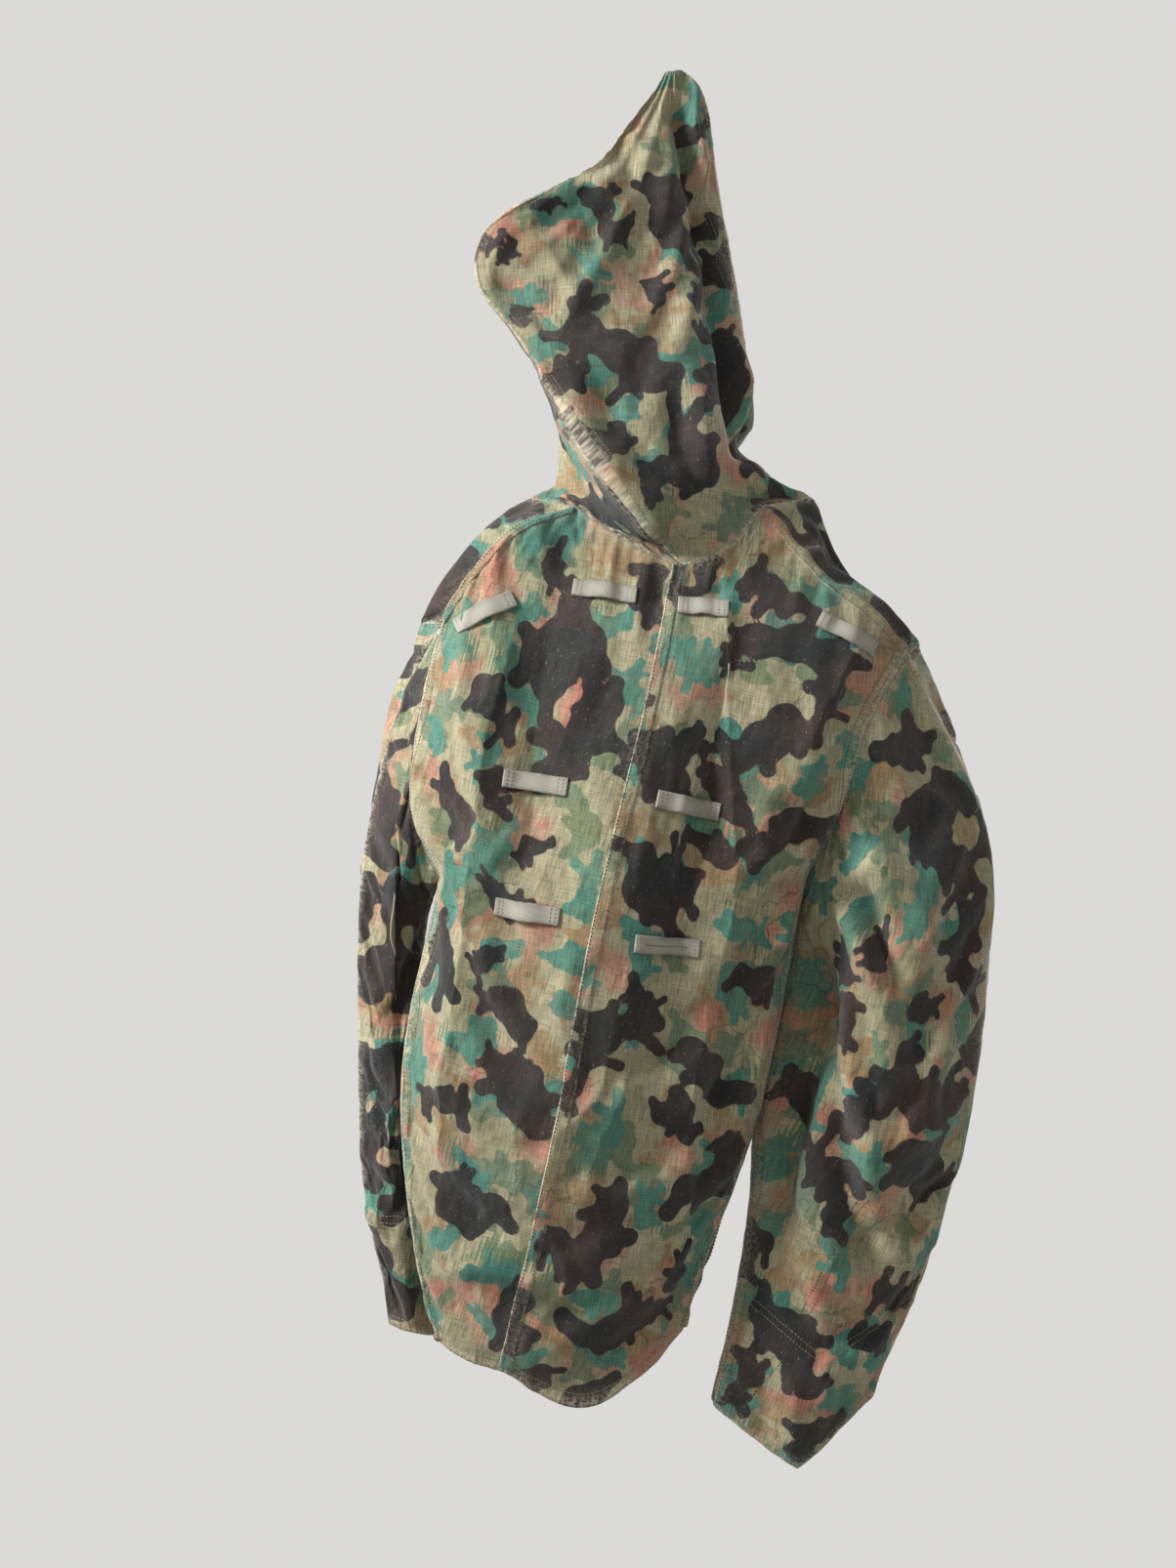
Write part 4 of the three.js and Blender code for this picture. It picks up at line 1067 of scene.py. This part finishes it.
def from_end(name, offset, u):
    table = slope(name, 0, 1)
    return 1 - offset / np.interp(u, np.linspace(0, 1, len(table)), table)


def both(left, right, offset, v):
    """Points and ways on either side of the ridge that two panels share: left is negative."""
    v = v + 0 * offset
    hits = [sample(name, from_ridge(name, np.abs(offset), v), v) for name in (left, right)]
    choose = (offset < 0)[..., None]
    return tuple(np.where(choose, hits[0][k], hits[1][k]) for k in range(2))


def strip(name, place, across, along, width, length, low, part, node, seed, same_print=None):
    """A strip of cloth on the points and ways that place(across, along) gives, low mm off them.
    Its print runs on from a panel's where same_print gives that panel's name and its p and q."""
    a = np.linspace(0, 1, across + 1)[None]
    s = np.linspace(0, 1, along + 1)[:, None]
    base, ways = place(a, s)
    soft = STRIP * (1 - 0.75 * np.abs(2 * a - 1) ** 8) + 0.16 * noise(s * length / 5, a * 3, seed)
    outer = base + ways * (low + soft)[..., None]
    inner = base + ways * low
    p, q = a * width + 37 * seed + 0 * s, s * length + 53 * seed + 0 * a
    if same_print:
        panel, at = same_print
        p, q = at(a, s)
        layers = inks(p, q, *prints[panel][2:])
    else:
        layers = inks(p, q, None, seed)
    layers["wear"] = np.clip(np.abs(2 * a - 1) ** 4 + 0.12, 0, 1) + 0 * s
    made = shell(name, outer, inner, layers, np.stack([p, q], axis=-1), cotton)
    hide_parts(node)
    hang(made, part)
    return made


outside = LAID_OFF
inside = -(CLOTH + LAID_OFF + STRIP + 0.25)
trims = {part: [] for part in ("body", "hood", "sleeve_right", "sleeve_left")}
trims["body"].append(strip(
    "felled_centre_back", lambda a, s: both(
        "back_left", "back_right", (a - 0.5) * FELL_WIDTH, FELL_START + FELL_SPAN * s),
    12, 260, FELL_WIDTH, 700, outside, "body", "centre_back_seam", 201,
    ("back_right", lambda a, s: ((a - 0.5) * FELL_WIDTH + 0 * s,
                                 print_at("back_right", 0 * a, FELL_START + FELL_SPAN * s)[1]))))
for s_name, seed in (("right", 203), ("left", 205)):
    back, front = f"back_{s_name}", f"front_{s_name}"

    def over_shoulder(a, s, back=back, front=front):
        offset = (a - 0.5) * FELL_WIDTH + 0 * s
        along = SHOULDER_START + SHOULDER_SPAN * s + 0 * a
        u_back = (BACK_NECK + SHOULDER_STEPS * along) / (BACK_NECK + SHOULDER_STEPS)
        on_back = sample(back, u_back, from_top(back, np.abs(offset), u_back))
        on_front = sample(front, along, from_top(front, np.abs(offset), along))
        return tuple(np.where((offset < 0)[..., None], on_front[k], on_back[k]) for k in range(2))
    trims["body"].append(strip(
        f"felled_shoulder_{s_name}", over_shoulder, 10, 90, FELL_WIDTH, 160, outside, "body",
        f"shoulder_seam_{s_name}", seed,
        (back, lambda a, s, back=back: print_at(
            back,
            (BACK_NECK + SHOULDER_STEPS * (SHOULDER_START + SHOULDER_SPAN * s))
            / (BACK_NECK + SHOULDER_STEPS),
            0.02 * a))))


def inside_hem(left, right):
    def place(a, s):
        u = (2 * s - 1) * HEM_SPAN + 0 * a
        hits = [sample(name, np.abs(u), from_end(name, 0.5 + HEM_FACING * a, np.abs(u)))
                for name in (left, right)]
        return tuple(np.where((u < 0)[..., None], hits[0][k], hits[1][k]) for k in range(2))
    return place


for facing, seed in (("back", 207), ("front", 209)):
    trims["body"].append(strip(
        f"turned_hem_{facing}", inside_hem(f"{facing}_left", f"{facing}_right"), 6, 200,
        HEM_FACING, 260, inside, "body", f"hem_facing_{facing}", seed))
for s_name, seed in (("right", 211), ("left", 213)):
    key = f"hood_{s_name}"
    trims["hood"].append(strip(
        f"face_casing_{s_name}", lambda a, s, key=key: sample(
            key, from_side(key, 0.4 + a * CASING, CASING_START + CASING_SPAN * s),
            CASING_START + CASING_SPAN * s + 0 * a),
        10, 180, CASING, 420, inside, "hood", f"hood_casing_{s_name}", seed))
    for facing in ("back", "front"):
        key = f"sleeve_{s_name}_{facing}"
        trims[f"sleeve_{s_name}"].append(strip(
            f"cuff_lining_{s_name}_{facing}", lambda a, s, key=key: sample(
                key, CUFF_START + CUFF_SPAN * s + 0 * a,
                from_end(key, 0.5 + a * CUFF_FACING, CUFF_START + CUFF_SPAN * s)),
            40, 60, CUFF_FACING, 140, inside, f"sleeve_{s_name}",
            f"cuff_facing_{s_name}_{facing}", seed + 7))
PLACKET_TOP = (FRONT_NECK + 1) / BODY_ROWS


def down_front(offset, share):
    return both("front_left", "front_right", offset, PLACKET_TOP + (0.992 - PLACKET_TOP) * share)


trims["body"].append(strip(
    "front_placket", lambda a, s: down_front((a - 0.5) * PLACKET_WIDTH + 0 * s, s + 0 * a), 24, 200,
    PLACKET_WIDTH, 560, outside, "body", "button_placket", 221))


# ------------------------------------------------------------------ sewing thread
# Lockstitch in cotton thread, about eight stitches to the inch: brown-black on the felled seams
# and grey-tan elsewhere. Each stitch is its own short length of thread, drawn into the cloth.
STITCH, STITCH_GAP = 2.3, 0.9
THREAD = 0.62
BUTTON_STITCH, BUTTON_THREAD = 5.2, 0.9
sewn_rows = {}


def sew(part, tone, place, lift=0.05):
    """Adds a row of stitches along the points and ways that place gives."""
    line, ways = place
    sewn_rows.setdefault((part, tone), []).append((line + ways * lift, ways))


def stitched(rows, stitch, gap, width):
    """The corners and faces of every stitch in the rows: a rounded bar that dips at its ends."""
    corners = []
    for line, ways in rows:
        run = np.concatenate([[0], np.cumsum(np.linalg.norm(np.diff(line, axis=0), axis=1))])
        starts = np.arange(0, run[-1] - stitch, stitch + gap)
        at = starts[:, None] + stitch * np.array([0.0, 0.2, 0.8, 1.0])
        path = np.stack([np.interp(at, run, line[:, k]) for k in range(3)], axis=-1)
        way = np.stack([np.interp(at, run, ways[:, k]) for k in range(3)], axis=-1)
        forward = path[:, -1:] - path[:, :1]
        aside = np.cross(forward, way)
        aside = aside / np.maximum(np.linalg.norm(aside, axis=-1, keepdims=True), 1e-9)
        dip = np.array([-0.25, 0.2, 0.2, -0.25])[None, :, None] * way
        turn = np.arange(6) * math.pi / 3
        ring = (aside[:, :, None] * np.cos(turn)[None, None, :, None]
                + way[:, :, None] * np.sin(turn)[None, None, :, None] * 0.7)
        slim = np.array([0.6, 1.0, 1.0, 0.6])[None, :, None, None] * width / 2
        corners.append((path + dip)[:, :, None] + ring * slim)
    corners = np.concatenate(corners)
    count = len(corners)
    base = (np.arange(count) * 24)[:, None, None]
    ring = np.arange(6)
    after = (ring + 1) % 6
    quads = np.stack([
        np.stack([r * 6 + ring, r * 6 + after, r * 6 + 6 + after, r * 6 + 6 + ring], axis=1)
        for r in range(3)]).reshape(1, 18, 4) + base
    caps = np.array([[5, 4, 3, 2, 1, 0], [18, 19, 20, 21, 22, 23]])[None] + base
    return corners.reshape(-1, 3), quads.reshape(-1, 4), caps.reshape(-1, 6)


def thread(name, code, fade):
    """Cotton thread: matt twisted fibre, with ply marks 0.5 mm apart and faded lengths."""
    made, tree, shader = new_material(name)
    place = add(tree, "ShaderNodeTexCoord").outputs["Object"]
    ply = add(tree, "ShaderNodeTexWave", {"Vector": place, "Scale": 620.0, "Distortion": 2.0},
              bands_direction="DIAGONAL").outputs[1]
    worn = add(tree, "ShaderNodeTexNoise", {"Vector": place, "Scale": 60.0, "Detail": 4.0})
    share = add(tree, "ShaderNodeMapRange", {0: worn.outputs[0], 1: 0.4, 2: 0.65}).outputs[0]
    colour = add(tree, "ShaderNodeMix", {0: share, 6: rgb(code), 7: rgb(fade)}, data_type="RGBA")
    tree.links.new(colour.outputs[2], shader.inputs["Base Color"])
    bump = add(tree, "ShaderNodeBump", {"Strength": 0.6, "Distance": 0.0003, "Height": ply})
    tree.links.new(bump.outputs[0], shader.inputs["Normal"])
    shader.inputs["Roughness"].default_value = 0.85
    return made


threads = {"dark": thread("brown_black_cotton_thread", "2A2422", "5A4A40"),
           "pale": thread("grey_tan_cotton_thread", "6E6653", "8C8470")}
long = np.linspace(0.006, 0.99, 300)
for offset in (-4.2, 4.2):
    sew("body", "dark", both("back_left", "back_right", offset + 0 * long, long), STRIP + 0.1)
for s_name in SIDES:
    back, front, key = f"back_{s_name}", f"front_{s_name}", f"hood_{s_name}"
    armhole = np.linspace(0.01, ARMHOLE / BODY_ROWS, 160)
    side = np.linspace(ARMHOLE / BODY_ROWS, 0.995, 200)
    neck = np.linspace(0.01, BACK_NECK / (BACK_NECK + SHOULDER_STEPS), 80)
    slope_share = np.linspace(0.02, 0.98, 90)
    over = (BACK_NECK + SHOULDER_STEPS * slope_share) / (BACK_NECK + SHOULDER_STEPS)
    sew("body", "dark", sample(back, over, from_top(back, 4.0, over)), STRIP + 0.1)
    sew("body", "dark", sample(front, slope_share, from_top(front, 4.0, slope_share)), STRIP + 0.1)
    sew("body", "pale", sample(back, neck, from_top(back, 3.0, neck)))
    for panel in (back, front):
        for offset in (2.5, 8.5):
            sew("body", "dark", sample(panel, from_side(panel, offset, armhole), armhole))
            sew("body", "dark", sample(panel, from_side(panel, offset, side), side))
        hem = np.linspace(0.01, 0.99, 120)
        for offset in (2.0, HEM_FACING - 1.5):
            sew("body", "pale", sample(panel, hem, from_end(panel, offset, hem)))
    crown = np.linspace(0.05, 0.995, 240)
    for offset in (3.0, 9.0):
        sew("hood", "pale", sample(key, from_ridge(key, offset, crown), crown))
    edge = np.linspace(0.08, 0.94, 220)
    for offset in (3.0, CASING - 2.0):
        sew("hood", "pale", sample(key, from_side(key, offset, edge), edge))
    bottom = np.linspace(0.01, 0.99, 160)
    sew("hood", "pale", sample(key, bottom, from_end(key, 4.0, bottom)))
    for facing in ("back", "front"):
        key = f"sleeve_{s_name}_{facing}"
        ring = np.linspace(0.01, 0.99, 110)
        for offset in (2.5, 9.0, CUFF_FACING - 8, CUFF_FACING - 2):
            sew(f"sleeve_{s_name}", "pale", sample(key, ring, from_end(key, offset, ring)))
        length = np.linspace(0.02, 0.995, 220)
        for offset in (2.5, 8.5):
            sew(f"sleeve_{s_name}", "dark", sample(key, from_side(key, offset, length), length))
        sew(f"sleeve_{s_name}", "dark", sample(key, ring, from_top(key, 3.0, ring)))
forearm = np.linspace(0.6, 0.985, 150)
for shift in (-0.015, 0.03):
    lie = np.interp(forearm, [0.6, 0.8, 0.985], [0.5, 0.67, 0.9]) + shift
    sew("sleeve_right", "dark", sample("sleeve_right_back", lie, forearm))
share = np.linspace(0.01, 0.99, 200)
for offset in (-PLACKET_WIDTH / 2 + 2, PLACKET_WIDTH / 2 - 2):
    sew("body", "pale", down_front(offset + 0 * share, share), STRIP + 0.1)


# ------------------------------------------------------------------ foliage loops
# Eight short lengths of off-white woven cotton tape, each with its ends turned under and sewn
# flat. The middle stands off the back a little, so that stems can be pushed through.
LOOP_WIDTH, LOOP_BOW, LOOP_STITCHED, TAPE = 15, 4, 9, 0.8
LOOPS = {
    "shoulder_left": (-150, 76, -37, 52), "neck_left": (-56, 38, -4, 52),
    "neck_right": (27, 34, -7, 40), "shoulder_right": (150, 29, 16, 52),
    "middle_left": (-78, 206, -4, 52), "middle_right": (48, 198, 0, 52),
    "lower_left": (-62, 310, -4, 52), "lower_right": (55, 313, -6, 52)}
back_points = np.concatenate([cloth_points[f"back_{s}"].reshape(-1, 3) for s in SIDES])
back_ways = np.concatenate([cloth_normals[f"back_{s}"].reshape(-1, 3) for s in SIDES])
back_flat = np.stack(on_body(back_points), axis=-1)


def back_at(across, down):
    """The back's cloth at distances across and down: a soft mean of the points round each."""
    middle = np.array([across.mean(), down.mean()])
    near = np.abs(back_flat - middle).max(axis=1) < 48
    flat = back_flat[near]
    away = (across[..., None] - flat[:, 0]) ** 2 + (down[..., None] - flat[:, 1]) ** 2
    weight = np.exp(-away / (2 * 2.4 ** 2))[..., None]
    total = weight.sum(axis=-2)
    points = (weight * back_points[near]).sum(axis=-2) / total
    ways = (weight * back_ways[near]).sum(axis=-2) / total
    ways = ways / np.linalg.norm(ways, axis=-1, keepdims=True)
    depth = -points[..., 1]
    return np.moveaxis(body(across, down, depth), 0, -1), ways


def woven_tape():
    """Cotton tape: plain weave in off-white yarn, ribs 1.2 mm apart, greyed along its edges."""
    made, tree, shader = new_material("woven_cotton_tape")
    uv = add(tree, "ShaderNodeUVMap", uv_map="cloth").outputs[0]
    ribs = add(tree, "ShaderNodeTexWave", {"Vector": uv, "Scale": 262.0, "Distortion": 0.6},
               bands_direction="Y").outputs[1]
    picks = add(tree, "ShaderNodeTexWave", {"Vector": uv, "Scale": 420.0, "Distortion": 0.8},
                bands_direction="X").outputs[1]
    grime = add(tree, "ShaderNodeTexNoise", {"Vector": uv, "Scale": 90.0, "Detail": 5.0})
    worn = add(tree, "ShaderNodeAttribute", attribute_name="wear").outputs["Fac"]
    share = add(tree, "ShaderNodeMath", {0: grime.outputs[0], 1: worn}, operation="MULTIPLY")
    base = add(tree, "ShaderNodeMix", {0: ribs, 6: rgb("8E8A7F"), 7: rgb("A8A498")},
               data_type="RGBA").outputs[2]
    colour = add(tree, "ShaderNodeMix", {0: share.outputs[0], 6: base, 7: rgb("6E6A5E")},
                 data_type="RGBA").outputs[2]
    tree.links.new(colour, shader.inputs["Base Color"])
    weave = add(tree, "ShaderNodeMath", {0: ribs, 1: picks}, operation="ADD").outputs[0]
    bump = add(tree, "ShaderNodeBump", {"Strength": 0.7, "Distance": 0.0006, "Height": weave})
    tree.links.new(bump.outputs[0], shader.inputs["Normal"])
    shader.inputs["Roughness"].default_value = 0.9
    return made


tape = woven_tape()
for number, (name, (across, down, tilt, length)) in enumerate(LOOPS.items()):
    half, bend = length / 2, 0.6
    under = np.linspace(LOOP_STITCHED, 0, 8)
    arc = np.linspace(-math.pi / 2, math.pi / 2, 7)[1:-1]
    top = np.linspace(-half, half, 46)
    free = np.clip((half - LOOP_STITCHED - np.abs(top)) / (half - LOOP_STITCHED), 0, 1)
    bow = (LOOP_BOW - 1.2) * np.sin(free * math.pi / 2) ** 2
    low, high = 0.55, 0.55 + 2 * bend
    along = np.concatenate([-half + under, -half - bend * np.cos(arc), top,
                            half + bend * np.cos(arc), half - under[::-1]])
    height = np.concatenate([low + 0 * under, low + bend + bend * np.sin(arc), high + bow,
                             low + bend - bend * np.sin(arc), low + 0 * under])
    run = np.concatenate([[0], np.cumsum(np.hypot(np.diff(along), np.diff(height)))])
    slant = np.stack([np.gradient(along), np.gradient(height)], axis=1)
    slant = slant / np.linalg.norm(slant, axis=1, keepdims=True)
    turn = math.radians(tilt)
    aside = (np.linspace(-0.5, 0.5, 9) * LOOP_WIDTH)[None]
    frayed = 0.35 * noise(run[:, None] / 2.5, aside / 5, 300 + number) * (np.abs(aside) > 7)

    def tape_layer(off):
        s = (along - off * slant[:, 1])[:, None] + 0 * aside
        w = aside + frayed + 0 * s
        base, ways = back_at(across + s * math.cos(turn) - w * math.sin(turn),
                             down + s * math.sin(turn) + w * math.cos(turn))
        return base + ways * (height + off * slant[:, 0])[:, None, None]
    worn = np.clip(np.abs(aside) / 7.5, 0, 1) ** 3 + 0.5 + 0 * run[:, None]
    uv = np.stack([run[:, None] + 0 * aside, aside + 0 * run[:, None]], axis=-1)
    loop = shell(f"tape_loop_{name}", tape_layer(TAPE / 2), tape_layer(-TAPE / 2),
                 {"wear": worn}, uv, tape)
    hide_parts(f"loop_{name}")
    hang(loop, "body")
    trims["body"].append(loop)
    ends = np.linspace(-6.6, 6.6, 12)
    for place in (-half + 2.4, -half + 6.4, half - 6.4, half - 2.4):
        base, ways = back_at(across + place * math.cos(turn) - ends * math.sin(turn),
                             down + place * math.sin(turn) + ends * math.cos(turn))
        sew("body", "pale", (base, ways), high + TAPE / 2)
    if name == "lower_right":
        middle = np.linspace(-half + 8, half - 8, 30)
        base, ways = back_at(across + middle * math.cos(turn), down + middle * math.sin(turn))
        lift = np.interp(middle, top, high + bow) + TAPE / 2
        sew("body", "dark", (base + ways * lift[:, None], ways), 0.05)


# ------------------------------------------------------------------ buttons
# Six four-hole buttons of brown horn, turned with a raised rim and a dished middle, and sewn
# through the placket with two bars of thread each.
BUTTON_COUNT, BUTTON_DIAMETER, BUTTON_THICKNESS = 6, 17, 3


def horn():
    """Horn: warm brown with pale streaks 2 to 4 mm long, polished, its shine varying with the grain."""
    made, tree, shader = new_material("polished_brown_horn")
    place = add(tree, "ShaderNodeTexCoord").outputs["Object"]
    spread = add(tree, "ShaderNodeMapping", {"Vector": place, "Scale": (420.0, 420.0, 110.0)})
    grain = add(tree, "ShaderNodeTexNoise", {
        "Vector": spread.outputs[0], "Scale": 1.0, "Detail": 5.0, "Distortion": 0.8})
    share = add(tree, "ShaderNodeMapRange", {0: grain.outputs[0], 1: 0.35, 2: 0.68}).outputs[0]
    colour = add(tree, "ShaderNodeMix", {0: share, 6: rgb("2E211A"), 7: rgb("7A5B40")},
                 data_type="RGBA").outputs[2]
    tree.links.new(colour, shader.inputs["Base Color"])
    rough = add(tree, "ShaderNodeMapRange", {0: grain.outputs[0], 3: 0.28, 4: 0.5}).outputs[0]
    tree.links.new(rough, shader.inputs["Roughness"])
    bump = add(tree, "ShaderNodeBump", {
        "Strength": 0.25, "Distance": 0.0003, "Height": grain.outputs[0]})
    tree.links.new(bump.outputs[0], shader.inputs["Normal"])
    return made


horn_finish = horn()
FIRST_BUTTON, LAST_BUTTON = 0.1, 0.86
RADIUS = BUTTON_DIAMETER / 2
HOLE_OUT, HOLE_SIZE = 2.1, 1.0
BUTTON_LIFT = 1.9    # a button's back off the front's cloth, over the placket
angles = np.linspace(0, 2 * math.pi, 73)[:-1][None]
ring = np.concatenate([np.linspace(0.02, 0.9, 26), [0.95, 0.985, 1.0, 1.0, 0.98, 0.9, 0.5, 0.02]])
face = np.concatenate([
    0.62 + 0.32 * np.clip((np.linspace(0.02, 0.9, 26) - 0.55) / 0.2, 0, 1),
    [0.93, 0.84, 0.68, 0.32, 0.12, 0.0, 0.0, 0.0]]) * BUTTON_THICKNESS
for i in range(BUTTON_COUNT):
    share = FIRST_BUTTON + (LAST_BUTTON - FIRST_BUTTON) * i / (BUTTON_COUNT - 1)
    seat, way = (value[0] for value in down_front(np.zeros(1), np.full(1, share)))
    side = np.cross(way, [0, 0, 1.0])
    side = side / np.linalg.norm(side)
    up = np.cross(side, way)
    x = ring[:, None] * RADIUS * np.cos(angles)
    y = ring[:, None] * RADIUS * np.sin(angles)
    holes = sum(np.exp(-(np.hypot(x - HOLE_OUT * cx, y - HOLE_OUT * cy) / HOLE_SIZE) ** 6)
                for cx in (-1, 1) for cy in (-1, 1))
    upper = (np.arange(len(ring)) < 26)[:, None]
    z = face[:, None] - 1.5 * holes * upper + BUTTON_LIFT
    points = (seat + x[..., None] * side + y[..., None] * up + z[..., None] * way) * MM
    rows, columns = x.shape
    at = np.arange(rows * columns).reshape(rows, columns)
    after = np.roll(at, -1, axis=1)
    quads = np.stack([at[:-1], at[1:], after[1:], after[:-1]], axis=-1).reshape(-1, 4)
    mesh = bpy.data.meshes.new(f"horn_button_{i + 1}")
    mesh.from_pydata(points.reshape(-1, 3).tolist(), [],
                     quads.tolist() + [at[0].tolist(), at[-1][::-1].tolist()])
    mesh.polygons.foreach_set("use_smooth", np.ones(len(mesh.polygons), bool))
    button = new_object(mesh, horn_finish)
    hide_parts(f"button_{i + 1}")
    hang(button, "body")
    for cx in (-1, 1):
        bar = np.linspace(-1.3, 1.3, 6)[:, None]
        line = seat + cx * HOLE_OUT * side + bar * HOLE_OUT * up
        line = line + way * (BUTTON_LIFT + 0.64 * BUTTON_THICKNESS)
        sew("buttons", "pale", (line, np.tile(way, (6, 1))), 0.1)

for (part, tone), rows in sewn_rows.items():
    long_stitch = part == "buttons"
    made = stitched(rows, BUTTON_STITCH if long_stitch else STITCH, STITCH_GAP,
                    BUTTON_THREAD if long_stitch else THREAD)
    mesh = bpy.data.meshes.new(f"stitching_{part}_{tone}")
    mesh.from_pydata((made[0] * MM).tolist(), [], made[1].tolist() + made[2].tolist())
    mesh.polygons.foreach_set("use_smooth", np.ones(len(mesh.polygons), bool))
    piece = new_object(mesh, threads[tone])
    hang(piece, part)

# ------------------------------------------------------------------ the cloth's flat sizes
# The flat width and length of the sheet that each panel was cut from, and the strips sewn to it, are
# worked out here.
for name, piece in panels.items():
    grid = fine_cut[name] * MM
    square = np.cross(grid[1:, 1:] - grid[:-1, :-1], grid[1:, :-1] - grid[:-1, 1:])
    cells = np.linalg.norm(square, axis=2) / 2
    steps = np.linalg.norm(np.diff(grid, axis=0), axis=2)
    width, length = (cells.sum(axis=1) / steps.mean(axis=1)).max(), steps.sum(axis=0).max()
    sewn_on = trims[part_of(name)] if name.endswith(("right", "right_back")) else []
    sewn_on = [trim for trim in sewn_on if not trim.name.startswith("horn")]

size = {"cad": cad_box, "visual": [list(corner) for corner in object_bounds()]}
